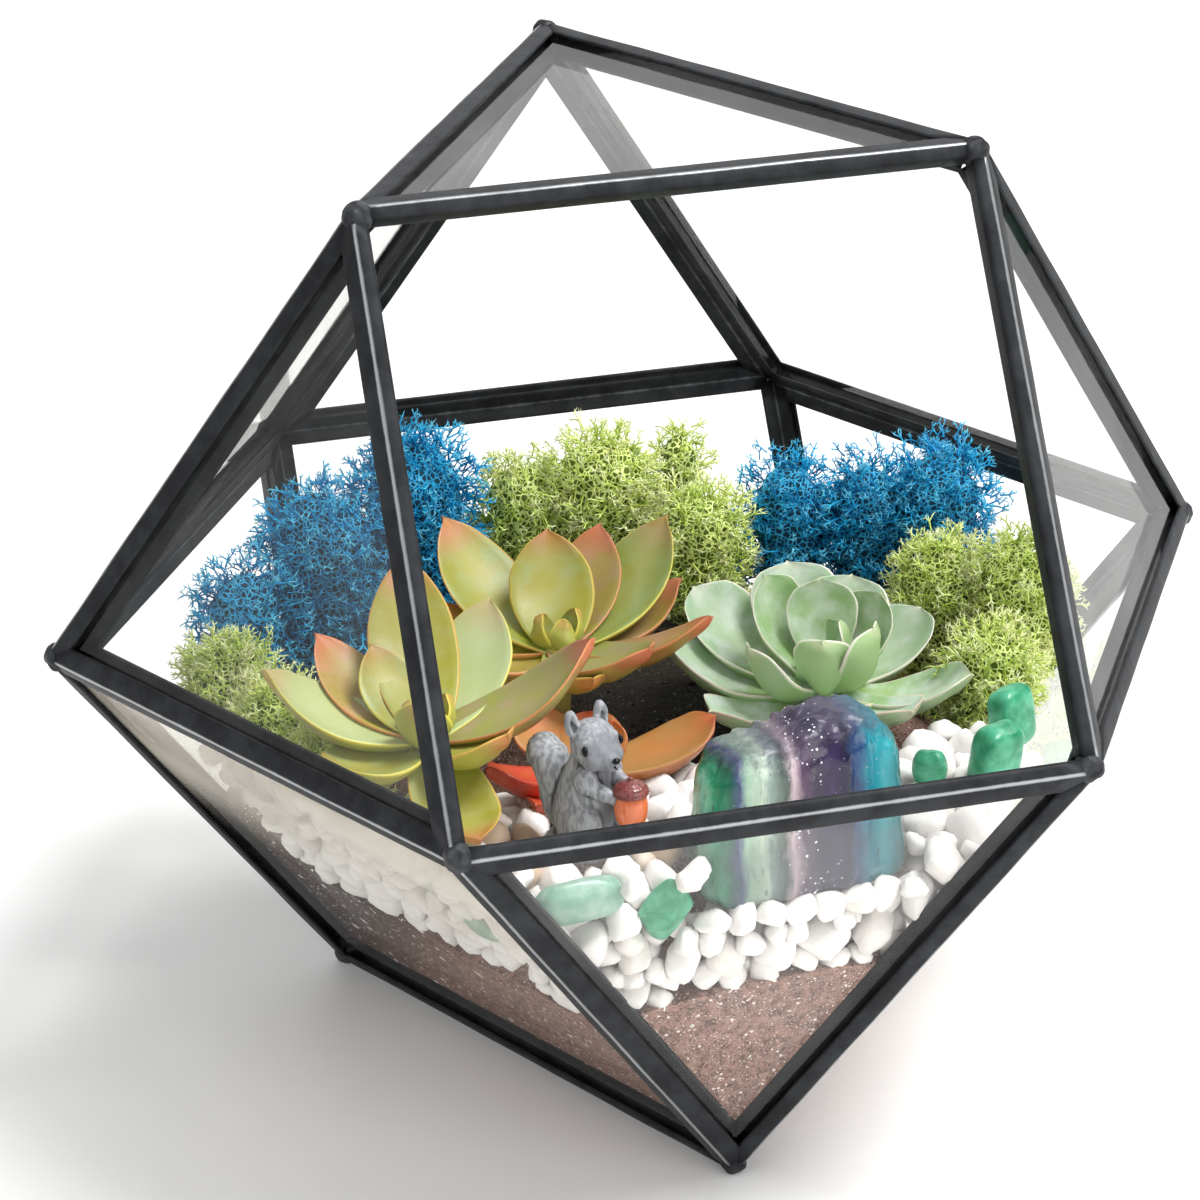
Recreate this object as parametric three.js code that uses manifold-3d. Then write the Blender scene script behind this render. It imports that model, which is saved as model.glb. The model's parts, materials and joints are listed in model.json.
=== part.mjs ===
// A geometric glass terrarium: fourteen faces held by black lead came, one square face open,
// planted with succulents and dyed moss over soil, pebbles, a fluorite stone and a squirrel.
// Millimetres, +Z up, the origin under the middle of the jar, the open face towards -Y.
import * as THREE from "three";
import { mergeVertices } from "three/addons/utils/BufferGeometryUtils.js";
import Module from "manifold-3d";

const wasm = await Module();
wasm.setup();

// Driving dimensions of the jar
const edgeLength = 102; // ridge to ridge along every edge
const glassThickness = 2;
const leadThickness = 0.8; // one folded wall of the came
const play = 0.3; // clearance between pieces that touch
const outerFlange = 3.6; // reach of the came over the outside of the glass
const innerFlange = 4.8; // reach of the came over the inside of the glass
const mouthBead = 2.5; // the came's width where the face beside it is open
const webReach = 2.1; // from the ridge to the bottom of the channel that holds the glass
const solderRadius = 2.9;
const solderDepth = 3; // from a corner to the middle of its solder blob
const cornerChop = 1.4; // what the solder replaces of each sharp corner

// Worked out from them
const channelEnd = leadThickness + 2 * play + glassThickness;
const cameDepth = channelEnd + leadThickness;
const midHeight = edgeLength * Math.sqrt(2 / 3);
const triangleRadius = edgeLength / Math.sqrt(3);
const jarCentre = new THREE.Vector3(0, 0, midHeight);

// The fill
const soilRim = 44; // height of the soil at the glass
const soilCrown = 62; // and in the middle of the jar
const troughHeight = 28; // the soil dips along the left lower pane
const troughStart = 49; // how far out from the middle of the jar the dip is deepest
const bedThickness = 2.5; // how far the pebbles stand out of the bed's core
const pebbleRadius = 3.8;

// Colours
const finish = (color, roughness, metalness = 0) =>
  new THREE.MeshStandardMaterial({ color, roughness, metalness });
const cameMetal = finish(0x1d1d1f, 0.42, 0.7);
const soilBrown = finish(0x5f4740, 0.95);
const pebbleWhite = finish(0xeeebe6, 0.6);
const mossBlue = finish(0x0b6fae, 0.9);
const mossGreen = finish(0x8fa646, 0.9);
const goldLeaf = finish(0xc3cf6a, 0.45);
const jadeLeaf = finish(0xb4cfa5, 0.5);
const bronzeLeaf = finish(0xb3603a, 0.45);
const fluoriteBands = finish(0x3f6f78, 0.2);
const seaGlassGreen = finish(0x2f9c72, 0.35);
const squirrelGrey = finish(0x8d9096, 0.5);
const acornBrown = finish(0xb8522a, 0.3);
const glassClear = new THREE.MeshStandardMaterial({
  color: 0xe8f0f0,
  roughness: 0.04,
  metalness: 0,
  transparent: true,
  opacity: 0.25,
});

// Corners, faces and edges of the jar
function corner(radius, degrees, height) {
  const angle = THREE.MathUtils.degToRad(degrees);
  return new THREE.Vector3(radius * Math.cos(angle), radius * Math.sin(angle), height);
}
const corners = {
  right: corner(edgeLength, 0, midHeight),
  back_right: corner(edgeLength, 60, midHeight),
  back_left: corner(edgeLength, 120, midHeight),
  left: corner(edgeLength, 180, midHeight),
  sill_left: corner(edgeLength, 240, midHeight),
  sill_right: corner(edgeLength, 300, midHeight),
  top_back: corner(triangleRadius, 90, 2 * midHeight),
  top_left: corner(triangleRadius, 210, 2 * midHeight),
  top_right: corner(triangleRadius, 330, 2 * midHeight),
  foot_right: corner(triangleRadius, 30, 0),
  foot_left: corner(triangleRadius, 150, 0),
  foot_front: corner(triangleRadius, 270, 0),
};
const faceCorners = {
  mouth: ["top_left", "top_right", "sill_right", "sill_left"],
  top: ["top_left", "top_right", "top_back"],
  side_right: ["top_right", "right", "sill_right"],
  side_left: ["top_left", "left", "sill_left"],
  back: ["top_back", "back_right", "back_left"],
  shoulder_right: ["top_back", "top_right", "right", "back_right"],
  shoulder_left: ["top_back", "top_left", "left", "back_left"],
  front_low: ["sill_left", "sill_right", "foot_front"],
  left_low: ["left", "sill_left", "foot_front", "foot_left"],
  right_low: ["right", "sill_right", "foot_front", "foot_right"],
  back_low: ["back_left", "back_right", "foot_right", "foot_left"],
  point_left: ["left", "back_left", "foot_left"],
  point_right: ["right", "back_right", "foot_right"],
  base: ["foot_front", "foot_right", "foot_left"],
};

// A face's middle, its inward normal and two axes in its plane.
function readFace(name) {
  const points = faceCorners[name].map((key) => corners[key]);
  const middle = new THREE.Vector3();
  points.forEach((point) => middle.add(point));
  middle.divideScalar(points.length);
  const inward = jarCentre.clone().sub(middle).normalize();
  const across = points[0].clone().sub(middle).normalize();
  const along = inward.clone().cross(across);
  const inradius = edgeLength / (2 * Math.tan(Math.PI / points.length));
  return { name, points, middle, inward, across, along, inradius };
}
const faces = Object.fromEntries(Object.keys(faceCorners).map((name) => [name, readFace(name)]));
const glazed = Object.keys(faces).filter((name) => name !== "mouth");

function findEdges() {
  const found = new Map();
  for (const [faceName, keys] of Object.entries(faceCorners)) {
    keys.forEach((key, i) => {
      const pair = [key, keys[(i + 1) % keys.length]].sort();
      const label = pair.join("_to_");
      if (!found.has(label)) found.set(label, { label, pair, faces: [] });
      found.get(label).faces.push(faces[faceName]);
    });
  }
  return [...found.values()];
}

// From surface geometry to solids, and back
function signedVolume(positions, index) {
  const [a, b, c] = [new THREE.Vector3(), new THREE.Vector3(), new THREE.Vector3()];
  let total = 0;
  for (let i = 0; i < index.length; i += 3) {
    a.fromArray(positions, 3 * index[i]);
    b.fromArray(positions, 3 * index[i + 1]);
    c.fromArray(positions, 3 * index[i + 2]);
    total += a.dot(b.cross(c));
  }
  return total / 6;
}
function toSolid(geometry) {
  const bare = geometry.clone();
  bare.deleteAttribute("normal");
  bare.deleteAttribute("uv");
  const merged = mergeVertices(bare, 1e-4);
  const vertProperties = merged.attributes.position.array;
  const triVerts = new Uint32Array(merged.index.array);
  if (signedVolume(vertProperties, triVerts) < 0) triVerts.reverse();
  return new wasm.Manifold(new wasm.Mesh({ numProp: 3, vertProperties, triVerts }));
}
function toGeometry(solid) {
  const mesh = solid.getMesh();
  const positions = new Float32Array(mesh.numVert * 3);
  for (let i = 0; i < mesh.numVert; i++) {
    const start = i * mesh.numProp;
    positions.set(mesh.vertProperties.subarray(start, start + 3), 3 * i);
  }
  return new THREE.BufferGeometry()
    .setAttribute("position", new THREE.BufferAttribute(positions, 3))
    .setIndex(new THREE.BufferAttribute(mesh.triVerts, 1));
}
const join = (solids) => wasm.Manifold.union(solids);
function largestBody(solid) {
  const bodies = solid.decompose();
  return bodies.reduce((best, body) => (body.volume() > best.volume() ? body : best));
}
function trimInside(solid, normal, point, clearance) {
  return solid.trimByPlane(normal.toArray(), normal.dot(point) + clearance);
}

const jar = new THREE.Group();
function addPiece(name, solid, material) {
  const geometry = toGeometry(solid).toNonIndexed();
  geometry.computeVertexNormals();
  const mesh = new THREE.Mesh(geometry, material);
  mesh.name = name;
  jar.add(mesh);
}

// Glass
function plate(face, inset, fromDepth, toDepth) {
  const share = 1 - inset / face.inradius;
  const outline = face.points.map((point) => {
    const arm = point.clone().sub(face.middle).multiplyScalar(share);
    return new THREE.Vector2(arm.dot(face.across), arm.dot(face.along));
  });
  const depth = toDepth - fromDepth;
  const geometry = new THREE.ExtrudeGeometry(new THREE.Shape(outline), { depth, bevelEnabled: false });
  const origin = face.middle.clone().addScaledVector(face.inward, fromDepth);
  const frame = new THREE.Matrix4().makeBasis(face.across, face.along, face.inward);
  return toSolid(geometry.applyMatrix4(frame.setPosition(origin)));
}
function pane(face) {
  const outside = leadThickness + play;
  return plate(face, webReach + play, outside, outside + glassThickness);
}
const paneClearance = (face) => plate(face, webReach, leadThickness, channelEnd);

// Lead came: a folded strip along each edge, mitred at both ends into a quarter of the solder blob
function cameSection(halfAngle, openSides) {
  const place = (reach, depth, side) =>
    new THREE.Vector2(
      side * (reach * Math.sin(halfAngle) - depth * Math.cos(halfAngle)),
      reach * Math.cos(halfAngle) + depth * Math.sin(halfAngle),
    );
  const middleDepth = (leadThickness + channelEnd) / 2;
  const sidePoints = (side) => {
    const glassSide = [
      [outerFlange, 0],
      [outerFlange, middleDepth],
      [innerFlange, middleDepth],
      [innerFlange, cameDepth],
    ];
    const openSide = [
      [mouthBead, 0],
      [mouthBead, cameDepth],
    ];
    const list = openSides.includes(side) ? openSide : glassSide;
    return list.map(([reach, depth]) => place(reach, depth, side));
  };
  const ridge = new THREE.Vector2(0, 0);
  const innerRidge = new THREE.Vector2(0, cameDepth / Math.sin(halfAngle));
  return [ridge, ...sidePoints(1), innerRidge, ...sidePoints(-1).reverse()];
}
function solderBlob(cornerPoint) {
  const inwards = jarCentre.clone().sub(cornerPoint).normalize();
  const middle = cornerPoint.clone().addScaledVector(inwards, solderDepth);
  return toSolid(new THREE.IcosahedronGeometry(solderRadius, 0).translate(...middle.toArray()));
}
function came(edge) {
  const [start, end] = edge.pair.map((key) => corners[key]);
  const direction = end.clone().sub(start).normalize();
  const edgeMiddle = start.clone().add(end).multiplyScalar(0.5);
  const reaches = edge.faces.map((face) => face.middle.clone().sub(edgeMiddle).normalize());
  const inwards = reaches[0].clone().add(reaches[1]).normalize();
  const sideways = inwards.clone().cross(direction);
  const halfAngle = reaches[0].angleTo(reaches[1]) / 2;
  const openSides = edge.faces
    .map((face, i) => (face.name === "mouth" ? Math.sign(reaches[i].dot(sideways)) : 0))
    .filter((side) => side !== 0);
  const section = new THREE.Shape(cameSection(halfAngle, openSides));
  const strip = new THREE.ExtrudeGeometry(section, { depth: edgeLength, bevelEnabled: false });
  strip.applyMatrix4(new THREE.Matrix4().makeBasis(sideways, inwards, direction).setPosition(start));
  const ends = [start, end].map((point) => ({ point, blob: solderBlob(point) }));
  let solid = toSolid(strip);
  for (const { point } of ends) {
    const towards = jarCentre.clone().sub(point).normalize();
    solid = trimInside(solid, towards, point, cornerChop);
  }
  solid = join([solid, ...ends.map(({ blob }) => blob)]);
  for (const { point } of ends) {
    for (const face of edge.faces) {
      const arm = point.clone().sub(jarCentre);
      const mitre = arm.cross(face.middle.clone().sub(jarCentre)).normalize();
      if (mitre.dot(edgeMiddle.clone().sub(jarCentre)) < 0) mitre.negate();
      solid = trimInside(solid, mitre, jarCentre, play / 2);
    }
  }
  for (const face of edge.faces) {
    if (face.name !== "mouth") solid = solid.subtract(paneClearance(face));
  }
  return solid.trimByPlane([0, 0, 1], 0);
}

// The space that the fill may take up, clear of the glass and of the came's inner flanges
function insetJar(depth) {
  const span = 4 * edgeLength;
  let solid = toSolid(new THREE.BoxGeometry(span, span, span));
  for (const face of Object.values(faces)) {
    solid = trimInside(solid, face.inward, face.middle, depth);
  }
  return solid;
}
function makeCavity() {
  const pads = glazed.map((name) =>
    plate(faces[name], innerFlange + play, channelEnd, cameDepth + 2 * play),
  );
  return join([insetJar(cameDepth + play), ...pads]);
}

// Repeatable random numbers
function seededRandom(seed) {
  let state = seed;
  return () => {
    state = (state * 16807) % 2147483647;
    return state / 2147483647;
  };
}

// A spot on the plan as a distance out towards the left lower pane and a distance along it
function leftWallPlace(x, y) {
  const outwards = -x * Math.cos(Math.PI / 6) - y / 2;
  const along = -x / 2 + y * Math.cos(Math.PI / 6);
  return { outwards, along };
}

// A solid with a level underside and a top that follows a height rule
function terrain(heightAt, spacing) {
  const width = 2 * edgeLength;
  const steps = Math.round(width / spacing);
  const geometry = new THREE.BoxGeometry(width, width, 2, steps, steps, 1);
  const position = geometry.attributes.position;
  for (let i = 0; i < position.count; i++) {
    const top = position.getZ(i) > 0;
    position.setZ(i, top ? heightAt(position.getX(i), position.getY(i)) : -1);
  }
  return toSolid(geometry);
}
function soilHeight(x, y) {
  const slope = 1 - THREE.MathUtils.smoothstep(Math.hypot(x, y), 28, 68);
  const ripple = 0.9 * Math.sin(x / 9) * Math.cos(y / 11);
  const crown = soilRim + (soilCrown - soilRim) * slope + ripple;
  const { outwards, along } = leftWallPlace(x, y);
  const ends = Math.max(0, 1.4 * (along - 32), 0.45 * (-30 - along));
  return Math.min(crown, troughHeight + Math.max(0, troughStart - outwards) + ends);
}
const soilSpacing = 13;
const soilTop = (raise) => terrain((x, y) => soilHeight(x, y) + raise, soilSpacing);

// A closed skin over rings of points, each end closed onto the middle of its ring
function loft(rings) {
  const count = rings[0].length;
  const middleOf = (ring) =>
    ring.reduce((sum, point) => sum.add(point), new THREE.Vector3()).divideScalar(count);
  const points = [middleOf(rings[0]), ...rings.flat(), middleOf(rings[rings.length - 1])];
  const index = [];
  for (let i = 0; i < count; i++) {
    const next = (i + 1) % count;
    index.push(0, 1 + next, 1 + i);
    for (let row = 0; row + 1 < rings.length; row++) {
      const lower = 1 + row * count;
      const upper = lower + count;
      index.push(lower + i, lower + next, upper + next, lower + i, upper + next, upper + i);
    }
    const last = 1 + (rings.length - 1) * count;
    index.push(last + i, last + next, points.length - 1);
  }
  return new THREE.BufferGeometry().setFromPoints(points).setIndex(index);
}

// A fleshy leaf along +X, hollow above and keeled below
function leafGeometry({ length, width, thickness, outline }) {
  const rings = outline.map(([u, share]) => {
    const half = (width / 2) * share;
    const body = thickness * (0.45 + 0.55 * Math.sin(Math.PI * Math.min(u + 0.12, 0.93)));
    const sag = -0.16 * length * Math.sin(Math.PI * u);
    const rim = 0.12 * half + 0.3 * body;
    return [
      [-half, rim],
      [-0.6 * half, -0.5 * body],
      [0, -0.75 * body],
      [0.6 * half, -0.5 * body],
      [half, rim],
      [0, 0.25 * body],
    ].map(([y, z]) => new THREE.Vector3(u * length, y, sag + z));
  });
  return loft(rings);
}
function placeLeaf(leaf, style, centre, grow) {
  const [azimuth, lift, length, width] = leaf;
  const geometry = leafGeometry({
    ...style,
    length: length + grow,
    width: width + 2 * grow,
    thickness: style.thickness + 2 * grow,
  });
  geometry.rotateY(-THREE.MathUtils.degToRad(lift));
  geometry.rotateZ(THREE.MathUtils.degToRad(azimuth));
  return toSolid(geometry.translate(...centre));
}
function stem(centre, foot, radius) {
  const length = centre[2] - foot;
  const geometry = new THREE.CylinderGeometry(radius, radius, length, 8).rotateX(Math.PI / 2);
  return toSolid(geometry.translate(centre[0], centre[1], foot + length / 2));
}
function rosette(plant, grow = 0) {
  const { centre, leaves, style, core, foot, stemRadius } = plant;
  const heart = new THREE.IcosahedronGeometry(core + grow, 0).translate(...centre);
  return join([
    toSolid(heart),
    stem(centre, foot - grow, stemRadius + grow),
    ...leaves.map((leaf) => placeLeaf(leaf, style, centre, grow)),
  ]);
}

// Outlines are listed as a share of the length and a share of the width
const fleshy = {
  thickness: 3.2,
  outline: [
    [0, 0.42],
    [0.28, 0.86],
    [0.54, 1],
    [0.82, 0.6],
    [1, 0.08],
  ],
};
const spoon = {
  thickness: 2.6,
  outline: [
    [0, 0.42],
    [0.3, 0.58],
    [0.64, 0.97],
    [0.89, 0.82],
    [1, 0.28],
  ],
};
const stubby = {
  thickness: 3,
  outline: [
    [0, 0.45],
    [0.3, 0.82],
    [0.62, 1],
    [0.87, 0.74],
    [1, 0.24],
  ],
};

// Leaves are listed as azimuth and lift in degrees, then length and width
const plants = {
  gold_succulent_front: {
    centre: [-46, -45, 82],
    core: 4,
    foot: 60,
    stemRadius: 2.2,
    style: fleshy,
    leaves: [
      [160, 24, 28, 15],
      [203, 6, 20, 14],
      [124, 24, 27, 12],
      [86, 42, 32, 15],
      [52, 30, 28, 14],
      [-10, 31, 31, 15],
      [-56, 20, 19, 13],
      [-83, -14, 25, 13],
      [112, 34, 19, 11],
      [-110, 55, 12, 9],
    ],
  },
  gold_succulent_back: {
    centre: [-17, -12, 78],
    core: 3.8,
    foot: 57,
    stemRadius: 2,
    style: fleshy,
    leaves: [
      [121, 31, 32, 15],
      [82, 46, 22, 14],
      [34, 28, 32, 15],
      [56, 33, 26, 12],
      [20, 14, 26, 11],
      [-22, 16, 27, 7],
      [-56, 18, 22, 14],
      [-84, 9, 18, 11],
      [190, 8, 18, 11],
      [145, 13, 24, 11],
    ],
  },
  jade_echeveria: {
    centre: [27, -22, 69],
    core: 4.2,
    foot: 55,
    stemRadius: 2.2,
    style: spoon,
    leaves: [
      [89, 30, 27, 16],
      [60, 30, 24, 15],
      [128, 23, 30, 17],
      [161, 18, 29, 15],
      [203, 9, 25, 13],
      [32, 14, 26, 14],
      [-22, 9, 25, 13],
      [-60, 8, 20, 13],
      [-97, 12, 17, 12],
      [196, 38, 19, 10],
      [122, 52, 22, 12],
      [78, 62, 19, 12],
      [22, 50, 19, 12],
      [-40, 56, 16, 12],
      [-110, 62, 14, 10],
      [0, 78, 13, 9],
    ],
  },
  bronze_succulent: {
    centre: [-17, -38, 68],
    core: 3.2,
    foot: 52,
    stemRadius: 1.8,
    style: stubby,
    leaves: [
      [10, 14, 22, 12],
      [82, 18, 14, 10],
      [124, 20, 17, 12],
      [196, 18, 21, 8],
      [219, 3, 16, 9],
      [-62, 14, 10, 8],
      [40, 55, 9, 7],
    ],
  },
};

// Moss: lobes that reach down to the soil, bristling with three-sided sprigs
function sprig(origin, outward, scale, random) {
  const lean = new THREE.Vector3(random() - 0.5, random() - 0.5, random() - 0.2);
  const along = outward.clone().addScaledVector(lean, 0.7).normalize();
  const facing = new THREE.Quaternion().setFromUnitVectors(new THREE.Vector3(0, 1, 0), along);
  const prong = new THREE.ConeGeometry(1.7 * scale, 7.5 * scale, 3, 1).translate(0, 1.8 * scale, 0);
  return toSolid(prong.applyQuaternion(facing).translate(...origin.toArray()));
}
function mossLobe({ at, size }, grow, random) {
  const ball = new THREE.IcosahedronGeometry(1, 1).deleteAttribute("normal").deleteAttribute("uv");
  const geometry = mergeVertices(ball);
  const position = geometry.attributes.position;
  const bottom = soilRim - 4 - at[2];
  for (let i = 0; i < position.count; i++) {
    const lump = 1 + 0.14 * (random() - 0.5);
    const z = position.getZ(i);
    const height = z < 0 ? -z * bottom : z * (size[2] + grow) * lump;
    const shrink = z < 0 ? 0.92 : 1;
    position.setX(i, position.getX(i) * (size[0] + grow) * lump * shrink);
    position.setY(i, position.getY(i) * (size[1] + grow) * lump * shrink);
    position.setZ(i, height);
  }
  return toSolid(geometry.translate(...at));
}
const goldenTurn = Math.PI * (3 - Math.sqrt(5));
const sprigsPerSize = 1.7;
function mossClump({ lobes, seed }, grow = 0) {
  const random = seededRandom(seed);
  const solids = lobes.map((lobe) => mossLobe(lobe, grow, random));
  lobes.forEach(({ at, size }) => {
    const sprigs = Math.round(size[0] * sprigsPerSize);
    for (let i = 0; i < sprigs; i++) {
      const height = 0.97 - (1.15 * (i + 0.5)) / sprigs;
      const reach = Math.sqrt(1 - height * height);
      const angle = i * goldenTurn + random();
      const away = new THREE.Vector3(reach * Math.cos(angle), reach * Math.sin(angle), height);
      const origin = new THREE.Vector3(...size).multiply(away).multiplyScalar(0.97);
      origin.add(new THREE.Vector3(...at));
      solids.push(sprig(origin, away, 1 + grow / 3, random));
    }
  });
  return join(solids);
}
const mossClumps = {
  blue_moss_left: {
    seed: 11,
    lobes: [
      { at: [-64, 30, 73], size: [9, 9, 10] },
      { at: [-48, 38, 79], size: [13, 12, 15] },
      { at: [-30, 46, 84], size: [12, 12, 15] },
    ],
  },
  blue_moss_right: {
    seed: 23,
    lobes: [
      { at: [38, 36, 76], size: [9, 9, 12] },
      { at: [52, 32, 77], size: [9, 9, 11] },
      { at: [64, 27, 80], size: [10, 9, 11] },
    ],
  },
  green_moss_back: {
    seed: 37,
    lobes: [
      { at: [-9, 50, 77], size: [9, 9, 11] },
      { at: [5, 48, 81], size: [11, 10, 11] },
      { at: [20, 32, 76], size: [9, 9, 10] },
      { at: [22, 54, 82], size: [4.5, 4.5, 5] },
    ],
  },
  green_moss_right: {
    seed: 41,
    lobes: [
      { at: [57, 4, 72], size: [9, 9, 11] },
      { at: [68, -4, 73], size: [9, 11, 13] },
      { at: [56, -24, 70], size: [8, 8, 9] },
    ],
  },
  green_moss_left: {
    seed: 53,
    lobes: [
      { at: [-71, 4, 73], size: [7, 8, 8] },
      { at: [-65, -14, 72], size: [8, 9, 9] },
      { at: [-61, -33, 72], size: [6, 8, 7] },
    ],
  },
};

// Stones and glass chips: the middle, the half sizes and the turn in degrees
function facetedStone({ at, half, turn }, grow = 0) {
  const geometry = new THREE.DodecahedronGeometry(1, 0);
  geometry.scale(...half.map((size) => 1.08 * size + grow));
  const [tip, swing] = turn.map(THREE.MathUtils.degToRad);
  return toSolid(geometry.rotateX(tip).rotateZ(swing).translate(...at));
}
const seaGlass = {
  sea_glass_front: { at: [-15, -74, 62], half: [3.8, 1.8, 6], turn: [19, 4] },
  sea_glass_front_left: { at: [-29, -74.6, 66], half: [6.4, 2, 3.6], turn: [19, 6] },
  sea_glass_left: { at: [-46, -39.7, 54], half: [3.8, 1.7, 2.8], turn: [35, -60] },
  sea_glass_left_low: { at: [-38.8, -47.4, 48], half: [4.4, 1.7, 2.8], turn: [35, -60] },
  sea_glass_right_tall: { at: [46, -55, 70], half: [3.8, 2.6, 5.4], turn: [12, 20] },
  sea_glass_right_back: { at: [53, -43, 70.5], half: [3.6, 2.4, 4.6], turn: [-8, 35] },
  sea_glass_right_small: { at: [35, -54, 69], half: [2.7, 1.8, 3.4], turn: [15, -20] },
};

// The banded fluorite: a rounded block on a slightly wider foot
const fluorite = { at: [9, -65.5, 59.5], width: 36.5, depth: 17, height: 28, turn: 6 };
function fluoriteBlock(grow = 0) {
  const levels = [
    [0, 0.93],
    [0.1, 1.03],
    [0.35, 1],
    [0.66, 0.96],
    [0.88, 0.88],
    [1, 0.66],
  ];
  const random = seededRandom(71);
  const sides = 12;
  const rings = levels.map(([rise, share]) =>
    Array.from({ length: sides }, (_, i) => {
      const angle = (2 * Math.PI * (i + 0.5)) / sides;
      const boxy = 1 / Math.max(Math.abs(Math.cos(angle)), Math.abs(Math.sin(angle))) ** 0.55;
      const reach = share * boxy * (1 + 0.05 * (random() - 0.5));
      const x = Math.cos(angle) * (reach * (fluorite.width / 2 - 1) + grow);
      const y = Math.sin(angle) * (reach * (fluorite.depth / 2 - 1) + grow);
      const dome = rise === 1 ? 1.6 * Math.cos(x / 7) : 0;
      const z = rise * fluorite.height + dome + (rise === 0 ? -grow : grow * rise);
      return new THREE.Vector3(x, y, z);
    }),
  );
  const geometry = loft(rings).rotateZ(THREE.MathUtils.degToRad(fluorite.turn));
  return toSolid(geometry.translate(...fluorite.at));
}

// A sitting squirrel, built facing +X on its own round foot, then turned and set down
const squirrel = { at: [-24, -60.5, 68], turn: -50, headTurn: -16 };
function egg(at, size, tilt = 0, detail = 1) {
  const geometry = new THREE.IcosahedronGeometry(1, detail).scale(...size);
  return toSolid(geometry.rotateY(THREE.MathUtils.degToRad(-tilt)).translate(...at));
}
function settle(solid) {
  return solid.rotate([0, 0, squirrel.turn]).translate(squirrel.at);
}
// Rings around a bent spine: each stop gives its x, z, half width, half thickness and lean in degrees
function spineLoft(stops, sides) {
  const rings = stops.map(([x, z, wide, thick, lean]) =>
    Array.from({ length: sides }, (_, i) => {
      const angle = (2 * Math.PI * (i + 0.5)) / sides;
      const tilt = THREE.MathUtils.degToRad(lean);
      const out = thick * Math.cos(angle);
      return new THREE.Vector3(x + out * Math.cos(tilt), wide * Math.sin(angle), z + out * Math.sin(tilt));
    }),
  );
  return toSolid(loft(rings));
}
const bothSides = (make) => [-1, 1].map(make);
function squirrelHead() {
  const skull = [
    [-1.3, 18.6, 1.4, 1.6, 96],
    [0, 18.8, 3, 3.2, 94],
    [2.4, 18.8, 3.9, 3.9, 92],
    [4.5, 18.3, 3.5, 3.3, 94],
    [6, 17.5, 2.2, 2.2, 98],
    [7.4, 16.9, 1.3, 1.2, 100],
  ];
  const ears = bothSides((side) => egg([0.6, side * 2.9, 22.3], [1.3, 1.1, 2.3], 12, 0));
  const cheeks = bothSides((side) => egg([4.4, side * 2.1, 17.2], [1.9, 1.7, 1.8], 0, 0));
  return join([spineLoft(skull, 10), ...ears, ...cheeks]).rotate([0, 0, squirrel.headTurn]);
}
function squirrelBody() {
  const foot = new THREE.CylinderGeometry(6.6, 7, 1.6, 14).rotateX(Math.PI / 2).translate(0, 0, 0.8);
  const body = [
    [-0.6, 1, 4, 4.2, 0],
    [-0.8, 4, 4.3, 5.1, 0],
    [-0.6, 7.5, 4.2, 4.9, 0],
    [0, 11, 3.9, 4.4, 0],
    [0.6, 14.5, 3.1, 3.5, 0],
    [1, 16.8, 2.6, 2.8, 0],
  ];
  const tail = [
    [-3, 2.2, 1.8, 1.8, 60],
    [-5.4, 4, 2.3, 2.1, 30],
    [-6.3, 6.8, 2.6, 2.2, 4],
    [-6.3, 9.6, 2.9, 2.6, 0],
    [-6.8, 12.4, 3.2, 3.3, 0],
    [-7.6, 14.6, 2.9, 3, 14],
    [-8.4, 16, 1.5, 1.6, 24],
  ];
  const haunches = bothSides((side) => egg([0.9, side * 2.9, 5], [4, 2.2, 4.2]));
  const feet = bothSides((side) => egg([4, side * 2.4, 2.1], [3.5, 1.5, 1.4], 0, 0));
  const arms = bothSides((side) => egg([4.2, side * 2.6, 11.6], [3.9, 1.5, 1.6], -14, 0));
  const trunk = [spineLoft(body, 10), spineLoft(tail, 8), squirrelHead()];
  return join([toSolid(foot), ...trunk, ...haunches, ...feet, ...arms]);
}
function squirrelRoom() {
  const height = 30;
  const column = new THREE.CylinderGeometry(7.7, 7.7, height, 14).rotateX(Math.PI / 2);
  return toSolid(column.translate(0, 0, height / 2 - play));
}
function acornSolid(grow = 0) {
  const profile = [
    [0, 3.4],
    [0.8, 3.7],
    [2.3, 5.1],
    [2.85, 7],
    [2.5, 8.8],
    [2.75, 9.2],
    [2.3, 10.7],
    [1.1, 11.8],
    [0.4, 12.6],
    [0, 12.6],
  ];
  const points = profile.map(([radius, height]) => {
    const wide = radius > 0 ? radius + grow : 0;
    return new THREE.Vector2(wide, height + grow * Math.sign(height - 8));
  });
  const geometry = new THREE.LatheGeometry(points, 12).rotateX(Math.PI / 2);
  return toSolid(geometry.translate(8.6, 0, 0));
}

// White pebbles: a packed bed against the front of the glass, its stones raised from one core
const bedBack = [
  [-88, -12],
  [-57, 8],
  [-46, -6],
  [-39, -26],
  [-30, -45],
  [-14, -44],
  [-8, -35],
  [4, -36],
  [12, -50],
  [28, -50],
  [44, -36],
  [66, -40],
];
const bedOutline = [...bedBack, [66, -100], [-88, -100]];
function bedTop(x, y) {
  const { along } = leftWallPlace(x, y);
  const front = THREE.MathUtils.clamp((-50 - y) / 27, 0, 1);
  const open = 67 + front * (3.4 - 0.125 * (x + 22));
  const underMoss = THREE.MathUtils.smoothstep(along, -20, 6);
  return x < -36 ? THREE.MathUtils.lerp(open, 47, underMoss) : open;
}
function inBedOutline(x, y) {
  let inside = false;
  bedOutline.forEach(([x1, y1], i) => {
    const [x0, y0] = bedOutline.at(i - 1);
    if (y1 > y !== y0 > y && x < x0 + ((y - y0) * (x1 - x0)) / (y1 - y0)) inside = !inside;
  });
  return inside;
}
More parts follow.
